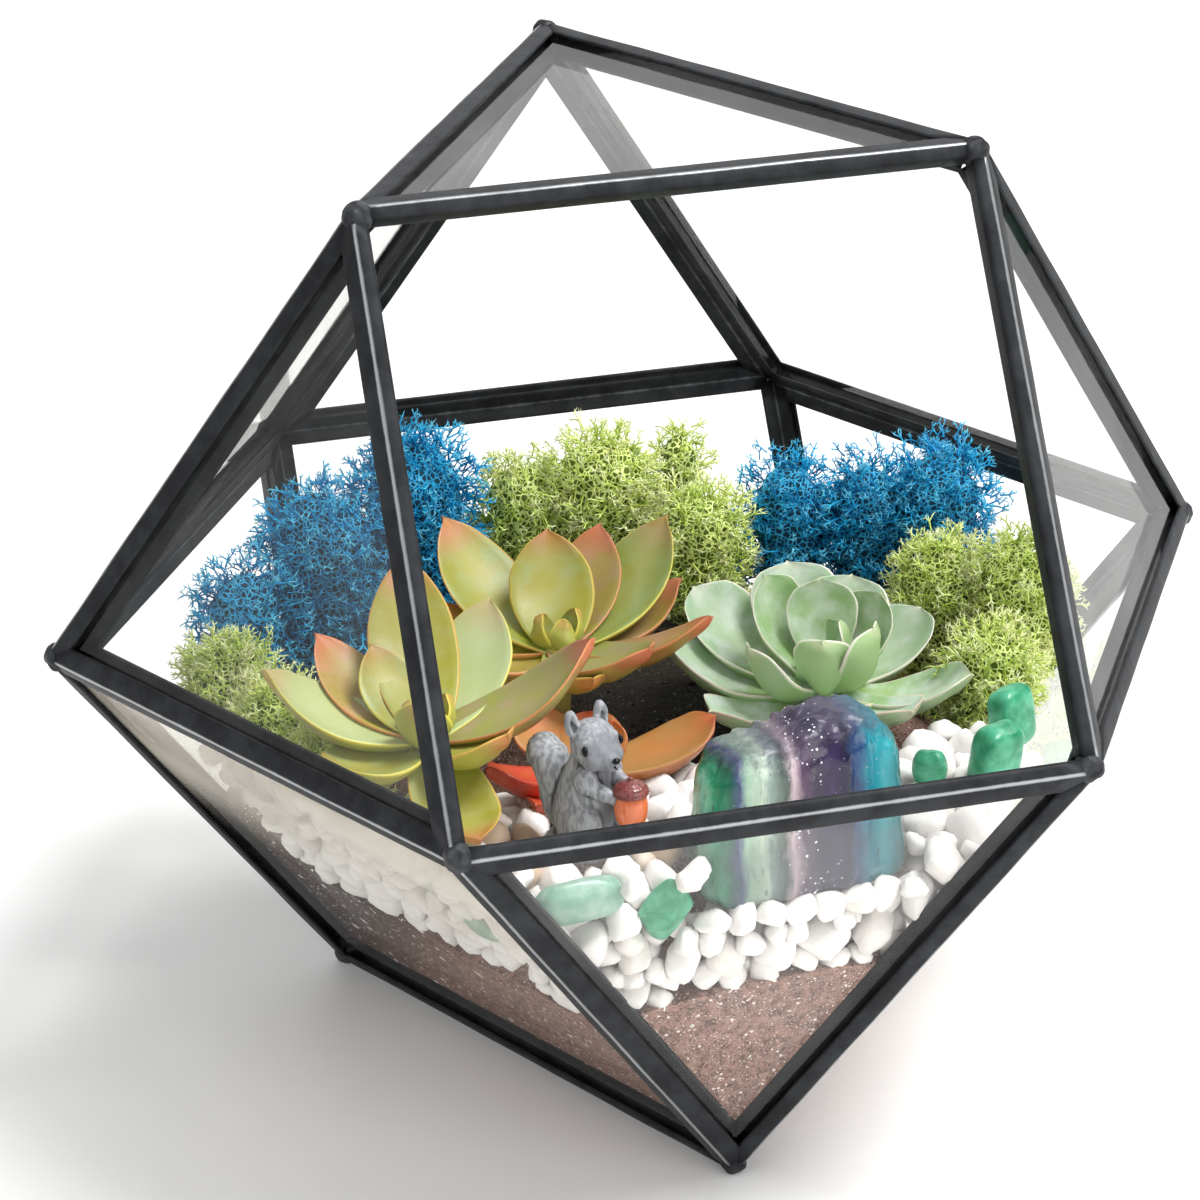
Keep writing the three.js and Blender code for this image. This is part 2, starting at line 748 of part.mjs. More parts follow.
function bedCore() {
  const outline = bedOutline.map(([x, y]) => new THREE.Vector2(x, y));
  const column = new THREE.ExtrudeGeometry(new THREE.Shape(outline), { depth: 90, bevelEnabled: false });
  return toSolid(column)
    .intersect(terrain((x, y) => bedTop(x, y) - bedThickness, 15))
    .intersect(insetJar(cameDepth + bedThickness));
}
function facePoint(face, height, sideways, depth) {
  const level = new THREE.Vector3(0, 0, 1).cross(face.inward).normalize();
  const uphill = face.inward.clone().cross(level);
  const climb = (height - face.middle.z) / uphill.z;
  return face.middle
    .clone()
    .addScaledVector(uphill, climb)
    .addScaledVector(level, sideways)
    .addScaledVector(face.inward, depth);
}
function pebbleSites() {
  const pitch = 2.05 * pebbleRadius;
  const wallDepth = channelEnd + 0.8 * pebbleRadius;
  const candidates = [];
  for (const face of [faces.front_low, faces.left_low, faces.right_low]) {
    for (let height = troughHeight + 2.5; height < soilCrown + 6; height += 0.74 * pitch) {
      const shift = (Math.round(height) % 2) * (pitch / 2);
      for (let t = -edgeLength / 2 + shift; t <= edgeLength / 2; t += pitch) {
        candidates.push(facePoint(face, height, t, wallDepth));
      }
    }
  }
  for (let y = -84; y < -30; y += 0.92 * pitch) {
    for (let x = -62; x < 62; x += pitch) {
      candidates.push(new THREE.Vector3(x, y, bedTop(x, y) - 0.9 * bedThickness));
    }
  }
  const offGlass = (point) =>
    Object.values(faces).every(
      ({ inward, middle }) => point.clone().sub(middle).dot(inward) > wallDepth - play,
    );
  const offStone = ({ x, y }) => {
    const clearAcross = Math.abs(x - fluorite.at[0]) > 0.42 * fluorite.width;
    return clearAcross || Math.abs(y - fluorite.at[1]) > 0.42 * fluorite.depth;
  };
  const sites = [];
  for (const point of candidates) {
    const { x, y, z } = point;
    const inBed = inBedOutline(x, y - 1) && z < bedTop(x, y) && z > soilHeight(x, y) + 2;
    const apart = sites.every((other) => other.distanceTo(point) > 0.86 * pitch);
    if (inBed && apart && offGlass(point) && (z < fluorite.at[2] || offStone(point))) sites.push(point);
  }
  return sites;
}
function pebble(point, random, grow) {
  const jitter = () => random() - 0.5;
  const size = pebbleRadius * (1.1 + 0.2 * random()) + grow;
  const geometry = new THREE.OctahedronGeometry(size, 0);
  geometry.scale(1.08, 0.96, 0.84).rotateX(3 * random()).rotateZ(6 * random());
  return toSolid(geometry.translate(point.x + jitter(), point.y + jitter(), point.z + jitter()));
}
function pebbleBed(cavity, grow = 0) {
  const random = seededRandom(97);
  const stones = pebbleSites().map((site) => pebble(site, random, grow));
  return join([bedCore().translate([0, 0, grow]), join(stones).intersect(cavity)]);
}

// Put together
for (const name of glazed) {
  addPiece("pane_" + name, pane(faces[name]), glassClear);
}
for (const edge of findEdges()) {
  addPiece("came_" + edge.label, came(edge), cameMetal);
}

const cavity = makeCavity();
const grownPlants = Object.values(plants).map((plant) => rosette(plant, play));
const stemHoles = Object.values(plants).map(({ centre, foot, stemRadius }) =>
  stem(centre, foot - play, stemRadius + play),
);
const soil = soilTop(0).intersect(cavity).subtract(join(stemHoles));
addPiece("soil", largestBody(soil), soilBrown);

const leafColours = {
  gold_succulent_front: goldLeaf,
  gold_succulent_back: goldLeaf,
  jade_echeveria: jadeLeaf,
  bronze_succulent: bronzeLeaf,
};
for (const [name, plant] of Object.entries(plants)) {
  addPiece(name, rosette(plant), leafColours[name]);
}

addPiece("fluorite_stone", fluoriteBlock(), fluoriteBands);
addPiece("squirrel", settle(squirrelBody().subtract(acornSolid(play))), squirrelGrey);
addPiece("acorn", settle(acornSolid()), acornBrown);
for (const [name, chip] of Object.entries(seaGlass)) {
  addPiece(name, facetedStone(chip), seaGlassGreen);
}

const settled = [
  settle(squirrelRoom()),
  fluoriteBlock(play),
  ...Object.values(seaGlass).map((chip) => facetedStone(chip, play)),
];
const groundClear = soilTop(play);
const bed = pebbleBed(cavity).subtract(join([groundClear, ...settled, ...grownPlants]));
addPiece("white_pebbles", largestBody(bed), pebbleWhite);

const mossColours = (name) => (name.startsWith("blue") ? mossBlue : mossGreen);
const taken = [groundClear, pebbleBed(cavity, play), ...settled, ...grownPlants];
for (const [name, clump] of Object.entries(mossClumps)) {
  const moss = mossClump(clump).intersect(cavity).subtract(join(taken));
  addPiece(name, largestBody(moss), mossColours(name));
  taken.push(mossClump(clump, play));
}

export default jar;
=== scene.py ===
import json
import math

import bmesh
import bpy
import numpy as np
from mathutils import Matrix, Vector, noise
from mathutils.bvhtree import BVHTree

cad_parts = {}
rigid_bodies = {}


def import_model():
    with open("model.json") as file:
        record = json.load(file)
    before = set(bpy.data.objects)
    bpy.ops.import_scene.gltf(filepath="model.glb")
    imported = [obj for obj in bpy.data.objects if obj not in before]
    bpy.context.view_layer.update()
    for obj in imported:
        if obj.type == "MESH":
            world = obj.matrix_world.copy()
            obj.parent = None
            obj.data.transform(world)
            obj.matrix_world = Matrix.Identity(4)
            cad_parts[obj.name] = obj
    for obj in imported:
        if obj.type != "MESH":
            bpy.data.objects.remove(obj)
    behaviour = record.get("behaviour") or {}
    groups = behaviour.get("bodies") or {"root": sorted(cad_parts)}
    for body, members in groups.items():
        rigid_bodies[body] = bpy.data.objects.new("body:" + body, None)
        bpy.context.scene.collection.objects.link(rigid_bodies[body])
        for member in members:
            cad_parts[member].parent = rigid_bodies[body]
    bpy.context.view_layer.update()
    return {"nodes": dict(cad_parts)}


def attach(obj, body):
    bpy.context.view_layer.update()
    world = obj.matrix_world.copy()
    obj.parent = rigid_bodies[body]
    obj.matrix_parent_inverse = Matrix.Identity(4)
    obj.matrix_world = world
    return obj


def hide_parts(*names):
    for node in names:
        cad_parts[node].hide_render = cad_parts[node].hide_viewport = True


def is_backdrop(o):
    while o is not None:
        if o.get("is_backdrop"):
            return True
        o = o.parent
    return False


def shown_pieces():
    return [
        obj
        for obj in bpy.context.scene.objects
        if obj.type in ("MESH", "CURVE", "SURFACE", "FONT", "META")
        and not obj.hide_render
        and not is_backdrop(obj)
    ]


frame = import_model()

mm = 0.001
print("frame loaded:", len(frame["nodes"]), "nodes")


# Numbers and turns, in millimetres and degrees
def seededRandom(seed):  # the same draws as the solids have
    state, factor, modulus = seed, 16807, 2147483647

    def draw():
        nonlocal state
        state = (state * factor) % modulus
        return state / modulus

    return draw


def smoothStep(value, low, high):
    share = np.clip((np.asarray(value, float) - low) / (high - low), 0, 1)
    return share * share * (3 - 2 * share)


def unit(vectors):
    vectors = np.asarray(vectors, float)
    return vectors / np.maximum(np.linalg.norm(vectors, axis=-1, keepdims=True), 1e-9)


def turned(points, axis, degrees):
    matrix = np.array(Matrix.Rotation(math.radians(degrees), 3, axis))
    return np.asarray(points, float) @ matrix.T


def placed(points, spot):  # from a piece's own origin to its spot in the jar
    return turned(points, "Z", spot["turn"]) + np.array(spot["at"])


def around(count):  # even angles round a circle
    return 2 * math.pi * np.arange(count) / count


def columns(*values):  # one column for each, a single number repeated down its own
    return np.column_stack(np.broadcast_arrays(*values))


def aboveFloor(points):  # flattens what would sink below the base
    points[:, 2] = np.maximum(points[:, 2], 0)
    return points


def smoothCurve(stops, where):  # a curve through the stops, as a row of values for each place
    stops = np.asarray(stops, float)
    keys, values = stops[:, 0], stops[:, 1:]
    slopes = np.gradient(values, keys, axis=0)
    spots = np.clip(np.atleast_1d(where), keys[0], keys[-1])
    left = np.clip(np.searchsorted(keys, spots) - 1, 0, len(keys) - 2)
    span = (keys[left + 1] - keys[left])[:, None]
    t = ((spots - keys[left])[:, None]) / span
    rise = values[left + 1] * (3 * t**2 - 2 * t**3) + values[left] * (1 - 3 * t**2 + 2 * t**3)
    return rise + span * (slopes[left] * (t - 2 * t**2 + t**3) + slopes[left + 1] * (t**3 - t**2))


def evenCurve(stops, count):  # the same, with its stops evenly apart
    keys = np.linspace(0, 1, len(stops))
    return smoothCurve(np.column_stack([keys, stops]), np.linspace(0, 1, count))


def linearColour(code):  # "#rrggbb" as the shader wants it
    parts = [int(code[i : i + 2], 16) / 255 for i in (1, 3, 5)]
    return tuple(p / 12.92 if p < 0.04045 else ((p + 0.055) / 1.055) ** 2.4 for p in parts) + (1.0,)


# Meshes
def linked(name, data):
    made = bpy.data.objects.new(name, data)
    bpy.context.scene.collection.objects.link(made)
    return made


def store(mesh, label, data, form="FLOAT"):
    attribute = mesh.attributes.new(label, form, "POINT")
    values = np.asarray(data).astype(np.int32 if form == "INT" else np.float32)
    attribute.data.foreach_set("vector" if form == "FLOAT_VECTOR" else "value", values.ravel())


def frozen(host):  # the mesh that the host's modifiers make, with the host gone
    evaluated = host.evaluated_get(bpy.context.evaluated_depsgraph_get())
    mesh = bpy.data.meshes.new_from_object(evaluated)
    host.modifiers.clear()
    bpy.data.objects.remove(host)
    return mesh


class Shape:
    def __init__(self):
        self.points, self.faces, self.values, self.count = [], [], {}, 0

    def add(self, points, faces, **values):
        points = np.asarray(points, float).reshape(-1, 3)
        self.faces += [[self.count + i for i in face] for face in faces]
        self.points.append(points)
        for label in set(self.values) | set(values):
            default = [np.zeros(self.count)] if self.count else []
            share = np.broadcast_to(np.asarray(values.get(label, 0.0), float), (len(points),))
            self.values.setdefault(label, default).append(share)
        self.count += len(points)
        return self

    def mesh(self, name, outward=True):
        made = bpy.data.meshes.new(name)
        made.from_pydata((np.concatenate(self.points) * mm).tolist(), [], self.faces)
        for label, parts in self.values.items():
            store(made, label, np.concatenate(parts))
        if outward:
            work = bmesh.new()
            work.from_mesh(made)
            bmesh.ops.recalc_face_normals(work, faces=work.faces)
            work.to_mesh(made)
            work.free()
        made.shade_smooth()
        made.update()
        return made


def loft(rings):  # rings of equal count, with both ends closed onto a pole
    rings = np.asarray(rings, float)
    rows, count = rings.shape[:2]
    faces = []
    for row in range(rows - 1):
        for i in range(count):
            a, b = row * count + i, row * count + (i + 1) % count
            faces.append([a, b, b + count, a + count])
    start, last = rows * count, (rows - 1) * count
    for i in range(count):
        faces.append([start, (i + 1) % count, i])
        faces.append([start + 1, last + i, last + (i + 1) % count])
    return np.vstack([rings.reshape(-1, 3), rings[0].mean(0), rings[-1].mean(0)]), faces


def emptied(work):  # the points and faces of a bmesh that is no longer needed
    points = np.array([v.co[:] for v in work.verts])
    faces = [[v.index for v in face.verts] for face in work.faces]
    work.free()
    return points, faces


def ball(levels):
    work = bmesh.new()
    bmesh.ops.create_icosphere(work, subdivisions=levels, radius=1)
    return emptied(work)


def block(cuts):  # a ball made from a cube, so its faces are even
    work = bmesh.new()
    bmesh.ops.create_cube(work, size=2)
    bmesh.ops.subdivide_edges(work, edges=work.edges, cuts=cuts, use_grid_fill=True)
    points, faces = emptied(work)
    return unit(points * (1 - 0.18 * points**2)), faces


def lumps(points, grain, seed, octaves=2):  # soft noise at each point, below and above zero
    shift = Vector((seed * 7.31, seed * 3.17, seed * 5.73))
    total = np.zeros(len(points))
    for octave in range(octaves):
        size = 2**octave / grain
        total += [noise.noise(Vector(p) * size + shift) / 2**octave for p in points]
    return total


def coordinates(mesh):
    flat = np.empty(len(mesh.vertices) * 3, np.float32)
    mesh.vertices.foreach_get("co", flat)
    return flat.reshape(-1, 3).astype(float) / mm


def moveTo(mesh, points):
    mesh.vertices.foreach_set("co", (points * mm).astype(np.float32).ravel())
    mesh.update()


def vertexNormals(mesh):
    return np.array([v.normal[:] for v in mesh.vertices])


def blended(mesh, voxel, rounds):  # one skin over overlapping forms
    host = linked("blend_host", mesh)
    remesh = host.modifiers.new("skin", "REMESH")
    remesh.mode, remesh.voxel_size = "VOXEL", voxel * mm
    soften = host.modifiers.new("soften", "SMOOTH")
    soften.factor, soften.iterations = 0.5, rounds
    return frozen(host)


def addPiece(name, mesh, finish, slot, nodes=()):
    piece = linked(name, mesh)
    if not len(mesh.materials):
        mesh.materials.append(finish)
    if nodes:
        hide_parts(*nodes)
    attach(piece, "root")
    print(name, sum(len(face.vertices) - 2 for face in mesh.polygons), "triangles")


def recolour(node, finish):  # a solid that stays in the picture
    node.data.materials.clear()
    node.data.materials.append(finish)


# Node trees
class Wire:  # a socket that takes Python's operators
    def __init__(self, owner, socket):
        self.owner, self.socket = owner, socket

    def maths(self, operation, *values):
        return self.owner.node("ShaderNodeMath", {"operation": operation}, dict(enumerate(values)))

    def __pow__(self, other):
        return self.maths("POWER", self, other)

    def __abs__(self):
        return self.maths("ABSOLUTE", self)

    def between(self, low, high):  # 0 below low, 1 above high, smooth between
        settings = {"interpolation_type": "SMOOTHSTEP"}
        return self.owner.node("ShaderNodeMapRange", settings, {0: self, 1: low, 2: high})


for sign, operation in {"add": "ADD", "sub": "SUBTRACT", "mul": "MULTIPLY"}.items():
    setattr(Wire, f"__{sign}__", lambda self, other, act=operation: self.maths(act, self, other))
    setattr(Wire, f"__r{sign}__", lambda self, other, act=operation: self.maths(act, other, self))


class Tree:  # every node comes from its one method
    def node(self, kind, settings=None, sockets=None, out=0):
        made = self.tree.nodes.new(kind)
        for key, value in (settings or {}).items():
            if key == "stops":
                ramp = made.color_ramp
                while len(ramp.elements) < len(value):
                    ramp.elements.new(0.5)
                for element, (spot, code) in zip(ramp.elements, value):
                    element.position, element.color = spot, linearColour(code)
            else:
                setattr(made, key, value)
        for key, value in (sockets or {}).items():
            if isinstance(value, Wire):
                self.tree.links.new(value.socket, made.inputs[key])
            else:
                coded = isinstance(value, str) and value.startswith("#")
                made.inputs[key].default_value = linearColour(value) if coded else value
        return Wire(self, made.outputs[out]) if len(made.outputs) else None


class Finish(Tree):  # one material
    def __init__(self, name):
        self.material = bpy.data.materials.new(name)
        self.material.use_nodes = True
        self.tree = self.material.node_tree
        self.tree.nodes.clear()

    def place(self, stretch=(1, 1, 1)):  # where on the object, in millimetres
        spot = self.node("ShaderNodeTexCoord", out="Object")
        scale = tuple(s / mm for s in stretch)
        return self.node("ShaderNodeMapping", None, {"Vector": spot, "Scale": scale})

    def along(self, axis):  # in millimetres along X, Y or Z
        spot = self.node("ShaderNodeTexCoord", out="Object")
        return self.node("ShaderNodeSeparateXYZ", None, {0: spot}, out=axis) * (1 / mm)

    def value(self, label):
        return self.node("ShaderNodeAttribute", {"attribute_name": label}, out="Fac")

    def grain(self, size, detail=2.0, rough=0.5, place=None):
        sockets = {"Vector": place or self.place(), "Scale": 1 / size, "Detail": detail, "Roughness": rough}
        return self.node("ShaderNodeTexNoise", None, sockets)

    def cells(self, size, feature="F1", out="Distance"):
        sockets = {"Vector": self.place(), "Scale": 1 / size}
        return self.node("ShaderNodeTexVoronoi", {"feature": feature}, sockets, out)

    def mix(self, first, second, share):
        return self.node("ShaderNodeMix", {"data_type": "RGBA"}, {0: share, 6: first, 7: second}, out=2)

    def mixShaders(self, share, first, second):
        return self.node("ShaderNodeMixShader", None, {0: share, 1: first, 2: second})

    def ramp(self, share, stops):
        return self.node("ShaderNodeValToRGB", {"stops": stops}, {"Fac": share})

    def relief(self, height, distance, strength=1.0):
        sockets = {"Height": height, "Distance": distance * mm, "Strength": strength}
        return self.node("ShaderNodeBump", None, sockets)

    def painted(self, colour, rough, relief=None, others=None):
        sockets = {"Base Color": colour, "Roughness": rough, **(others or {})}
        if relief:
            sockets["Normal"] = relief
        return self.done(self.node("ShaderNodeBsdfPrincipled", None, sockets))

    def done(self, shader):
        self.node("ShaderNodeOutputMaterial", None, {"Surface": shader})
        return self.material


# Repeats: one tree of geometry nodes sets a variant on every site of a piece
class Recipe(Tree):
    def __init__(self, name, inputs):
        self.tree = bpy.data.node_groups.new(name, "GeometryNodeTree")
        sides = self.tree.interface
        self.identifiers = {}
        for label, kind in inputs.items():
            socket = sides.new_socket(label, in_out="INPUT", socket_type="NodeSocket" + kind)
            self.identifiers[label] = socket.identifier
        sides.new_socket("Piece", in_out="OUTPUT", socket_type="NodeSocketGeometry")
        self.start = self.node("NodeGroupInput").socket.node

    def given(self, label):
        return Wire(self, self.start.outputs[label])


def scatterRecipe():
    sizes = {"Size": "Float", "Size spread": "Float", "Seed": "Int"}
    recipe = Recipe(
        "scatterOnSites", {"Sites": "Geometry", "Variants": "Collection", "Finish": "Material", **sizes}
    )
    node, given = recipe.node, recipe.given

    def stored(label, kind):
        return node("GeometryNodeInputNamedAttribute", {"data_type": kind}, {"Name": label})

    def drawn(low, high):
        return node("FunctionNodeRandomValue", None, {2: low, 3: high, "Seed": given("Seed")}, out=1)

    upright = {"Vector": stored("facing", "FLOAT_VECTOR")}
    facing = node("FunctionNodeAlignRotationToVector", {"axis": "Z"}, upright)
    turn = {"Axis": (0, 0, 1), "Angle": drawn(0.0, 2 * math.pi)}
    spin = node("FunctionNodeAxisAngleToRotation", None, turn)
    both = {"Rotation": facing, "Rotate By": spin}
    rotation = node("FunctionNodeRotateRotation", {"rotation_space": "LOCAL"}, both)
    spread = given("Size spread")
    scale = stored("size", "FLOAT") * given("Size") * drawn(1.0 - spread, 1.0 + spread)
    shelf = {"Collection": given("Variants"), "Separate Children": True, "Reset Children": True}
    copies = node(
        "GeometryNodeInstanceOnPoints",
        None,
        {
            "Points": given("Sites"),
            "Instance": node("GeometryNodeCollectionInfo", None, shelf),
            "Pick Instance": True,
            "Instance Index": stored("kind", "INT"),
            "Rotation": rotation,
            "Scale": scale,
        },
    )
    solid = node("GeometryNodeRealizeInstances", None, {"Geometry": copies})
    painted = node("GeometryNodeSetMaterial", None, {"Geometry": solid, "Material": given("Finish")})
    node("NodeGroupOutput", None, {0: painted})
    return recipe


scatterTree = scatterRecipe()


def scatter(name, sites, variants, finish, size=1.0, spread=0.04, seed=0):
    host = bpy.data.meshes.new(name + "_sites")
    host.from_pydata((np.asarray(sites["points"], float) * mm).tolist(), [], [])
    for label, data in sites.items():
        if label != "points":
            form = "INT" if label == "kind" else "FLOAT_VECTOR" if np.ndim(data) == 2 else "FLOAT"
            store(host, label, data, form)
    shelf = bpy.data.collections.new(name + "_variants")
    for i, mesh in enumerate(variants):
        shelf.objects.link(bpy.data.objects.new(f"{name}_variant_{i:02d}", mesh))
    grower = linked(name + "_grower", host)
    modifier = grower.modifiers.new("scatter", "NODES")
    modifier.node_group = scatterTree.tree
    sizes = {"Size": size, "Size spread": spread, "Seed": seed}
    for label, value in {"Variants": shelf, "Finish": finish, **sizes}.items():
        modifier[scatterTree.identifiers[label]] = value
    bpy.context.view_layer.update()
    mesh = frozen(grower)
    for member in list(shelf.objects):
        bpy.data.objects.remove(member)
    bpy.data.collections.remove(shelf)
    mesh.name = name
    mesh.shade_smooth()
    return mesh


# The jar: a cuboctahedron standing on a triangle, its square face at the front left open
jar = {
    "edgeLength": 102.0, "leadThickness": 0.8, "channelEnd": 3.4, "cameDepth": 4.2, "outerFlange": 3.6,
    "innerFlange": 4.8, "mouthBead": 2.5, "webReach": 2.1, "glassInside": 3.35,
}
midHeight = jar["edgeLength"] * math.sqrt(2 / 3)
triangleRadius = jar["edgeLength"] / math.sqrt(3)
jarCentre = np.array([0, 0, midHeight])
corners = {}
rings = [
    (jar["edgeLength"], midHeight, 0, 60, "right back_right back_left left sill_left sill_right"),
    (triangleRadius, 2 * midHeight, 90, 120, "top_back top_left top_right"),
    (triangleRadius, 0, 30, 120, "foot_right foot_left foot_front"),
]
for radius, height, first, step, names in rings:
    for i, name in enumerate(names.split()):
        angle = math.radians(first + step * i)
        corners[name] = np.array([radius * math.cos(angle), radius * math.sin(angle), height])
faceCorners = {
    "mouth": "top_left top_right sill_right sill_left", "top": "top_left top_right top_back",
    "side_right": "top_right right sill_right", "side_left": "top_left left sill_left",
    "back": "top_back back_right back_left", "shoulder_right": "top_back top_right right back_right",
    "shoulder_left": "top_back top_left left back_left", "front_low": "sill_left sill_right foot_front",
    "left_low": "left sill_left foot_front foot_left", "right_low": "right sill_right foot_front foot_right",
    "back_low": "back_left back_right foot_right foot_left", "point_left": "left back_left foot_left",
    "point_right": "right back_right foot_right", "base": "foot_front foot_right foot_left",
}
faceCorners = {name: keys.split() for name, keys in faceCorners.items()}
middles = {name: np.mean([corners[c] for c in keys], axis=0) for name, keys in faceCorners.items()}
inwards = {name: unit(jarCentre - middle) for name, middle in middles.items()}
glazed = [name for name in faceCorners if name != "mouth"]


def findEdges():  # each pair of corners, with the faces that meet there
    found = {}
    for name, keys in faceCorners.items():
        for i, key in enumerate(keys):
            pair = tuple(sorted([key, keys[(i + 1) % len(keys)]]))
            found.setdefault(pair, []).append(name)
    return found


edges = findEdges()
insideBars = []  # at each edge between two panes, its middle and the way in
for (start, end), names in edges.items():
    middle = (corners[start] + corners[end]) / 2
    if "mouth" not in names:
        insideBars.append((middle, unit(sum(unit(middles[name] - middle) for name in names))))


def pushedIn(points, depth, walls):
    points = np.array(points, float)
    for middle, inward in walls:
        lack = depth - (points - middle) @ inward
        points += np.maximum(lack, 0)[..., None] * inward
    return points


def keepInside(points, depth, names=glazed):  # pushes points in from the glass
    return pushedIn(points, depth, [(middles[name], inwards[name]) for name in names])


def clearOfBars(points, depth):  # pushes points in from the bars between panes
    return pushedIn(points, depth, insideBars)


def wallGap(points):  # how deep each point lies behind the nearest pane
    return np.min([(points - middles[n]) @ inwards[n] for n in glazed], axis=0)


# Light, floor and camera
stage = {
    "floor": "#fafaf9", "floorShade": "#efefee", "halfFloor": 6000, "world": 0.51,
    "lamps": {
        "back_panel": {"place": (0.3, 1.35, 0.8), "size": (1.7, 0.9), "power": 5},
        "key": {"place": (0.72, -0.22, 1.52), "size": (0.72, 0.72), "power": 32},
        "left_panel": {"place": (-1.15, -0.25, 1.0), "size": (0.9, 0.9), "power": 3},
        "front_fill": {"place": (0.55, -1.15, 0.45), "size": (1.3, 0.5), "power": 7},
    },
    "aim": (0, 0, 0.08), "eye": (-138.64, -559.03, 351.24), "eyeRight": (0.97004, -0.24157, -0.02584),
    "eyeDown": (-0.12565, -0.40783, -0.90437), "eyeForward": (0.20793, 0.88052, -0.42597), "lens": 110.644,
    "sensor": 36, "clip": (0.02, 50),
    "bounces": {"max_bounces": 4, "diffuse_bounces": 2, "glossy_bounces": 1, "transmission_bounces": 2},
}


def softbox(name, place, size, power):
    light = bpy.data.lights.new(name, "AREA")
    light.shape, light.size, light.size_y, light.energy = "RECTANGLE", *size, power
    lamp = linked(name, light)
    lamp.location = place
    lamp.rotation_mode = "QUATERNION"
    lamp.rotation_quaternion = (Vector(stage["aim"]) - Vector(place)).to_track_quat("-Z", "Y")
    lamp.visible_camera = False


def layFloor():
    far = stage["halfFloor"]
    ground = Shape().add([(-far, -far, 0), (far, -far, 0), (far, far, 0), (-far, far, 0)], [[0, 1, 2, 3]])
    floor = linked("floor", ground.mesh("floor", outward=False))
    paper = Finish("pale_floor")
    tone = paper.mix(stage["floor"], stage["floorShade"], paper.grain(60, 3))
    floor.data.materials.append(paper.painted(tone, 0.9))
    floor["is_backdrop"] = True


def setCamera():
    lens = bpy.data.cameras.new("camera")
    lens.lens, lens.sensor_width = stage["lens"], stage["sensor"]
    lens.clip_start, lens.clip_end = stage["clip"]
    eye = linked("camera", lens)
    right, down, forward = (np.array(stage[k]) for k in ("eyeRight", "eyeDown", "eyeForward"))
    turn = Matrix(np.column_stack([right, -down, -forward]).tolist()).to_4x4()
    eye.matrix_world = Matrix.Translation(Vector(stage["eye"]) * mm) @ turn
    bpy.context.scene.camera = eye


def buildStage():
    scene = bpy.context.scene
    scene.view_settings.view_transform = "Standard"
    for kind, count in stage["bounces"].items():
        setattr(scene.cycles, kind, count)
    scene.world = bpy.data.worlds.new("studio")
    scene.world.use_nodes = True
    sky = scene.world.node_tree.nodes["Background"]
    sky.inputs["Color"].default_value = (1, 1, 1, 1)
    sky.inputs["Strength"].default_value = stage["world"]
    for name, lamp in stage["lamps"].items():
        softbox(name, lamp["place"], lamp["size"], lamp["power"])
    layFloor()
    setCamera()


buildStage()
print("stage set")


# Glass
pane = {
    "tint": "#fdfdfc", "mirror": 0.03, "edgeOn": 0.5, "polish": 0.015, "smear": 0.02, "smearRough": 0.05,
    # haze and film: a white film on the panes listed below, partly dust and partly a painted reflection
    "smearSize": 22, "haze": 0.42, "film": "#e9e1d3", "hazeRise": (36, 66), "dustAndSheenShine": 0.35,
    "paintedLight": ["left_low"],
}


def clearGlass(name, paintedLight=False):
    glass = Finish(name)
    facing = glass.node("ShaderNodeLayerWeight", None, {"Blend": 0.5}, out="Facing")
    smear = glass.grain(pane["smearSize"], 0).between(0.35, 0.75)
    share = (facing**5) * pane["edgeOn"] + pane["mirror"] + smear * pane["smear"]
    clear = glass.node("ShaderNodeBsdfTransparent", None, {"Color": pane["tint"]})
    # a white diffuse film over the upper part of these panes: partly dust, partly a painted reflection
    if paintedLight:
        share = share * pane["dustAndSheenShine"]
        film = glass.node("ShaderNodeBsdfDiffuse", None, {"Color": pane["film"]})
        dustAndSheen = glass.along("Z").between(*pane["hazeRise"]) * (0.5 + 0.7 * smear) * pane["haze"]
        clear = glass.mixShaders(dustAndSheen, clear, film)
    rough = smear * pane["smearRough"] + pane["polish"]
    gloss = glass.node("ShaderNodeBsdfGlossy", None, {"Color": "#ffffff", "Roughness": rough})
    return glass.done(glass.mixShaders(share, clear, gloss))


glassFinish, dustAndSheenFinish = clearGlass("clear_glass"), clearGlass("dust_and_sheen_glass", True)
for name in glazed:
    recolour(frame["nodes"]["pane_" + name], dustAndSheenFinish if name in pane["paintedLight"] else glassFinish)
print("glass done")


# Lead came with a rounded solder ridge, and a lump of solder on every corner
lead = {
    "ridgeRound": 0.62, "lipRound": 0.4, "beadRound": 0.9, "lipWearAndHighlight": 0.45, "beadWearAndHighlight": 0.5, "stations": 26,
    "uneven": 0.07, "unevenDepth": 2.4, "waves": 4, "calmEnds": 0.05, "ridgeUneven": 0.1, "blobRadius": 2.4,
    "blobDepth": 2.3, "blobLumps": 0.14, "blobShapes": 4, "blobSpread": 0.03, "dark": "#1b1c1f",
    # the light grey of worn lead, which also paints the bright highlight line along each ridge
    "grey": "#2e3033", "wornAndHighlight": "#a4a6a8",
}


def roundedOutline(stops):  # each stop is x, y, how far its rounding reaches, its points and its wear, which also carries the painted highlight along the crests
    outline, ridge = [], []
    places = [np.array(stop[:2], float) for stop in stops]
    for i, (x, y, reach, steps, wear) in enumerate(stops):
        here, before, after = places[i], places[i - 1], places[(i + 1) % len(stops)]
        if steps == 1:
            outline.append(here)
            ridge.append(wear)
            continue
        backs = [before - here, after - here]
        arms = [unit(b) * min(reach, 0.45 * np.linalg.norm(b)) for b in backs]
        for s in np.linspace(0, 1, steps):
            outline.append(here + arms[0] * (1 - s) ** 2 + arms[1] * s**2)
            ridge.append(wear * (1 - 0.7 * abs(2 * s - 1)))
    return np.array(outline), np.array(ridge)


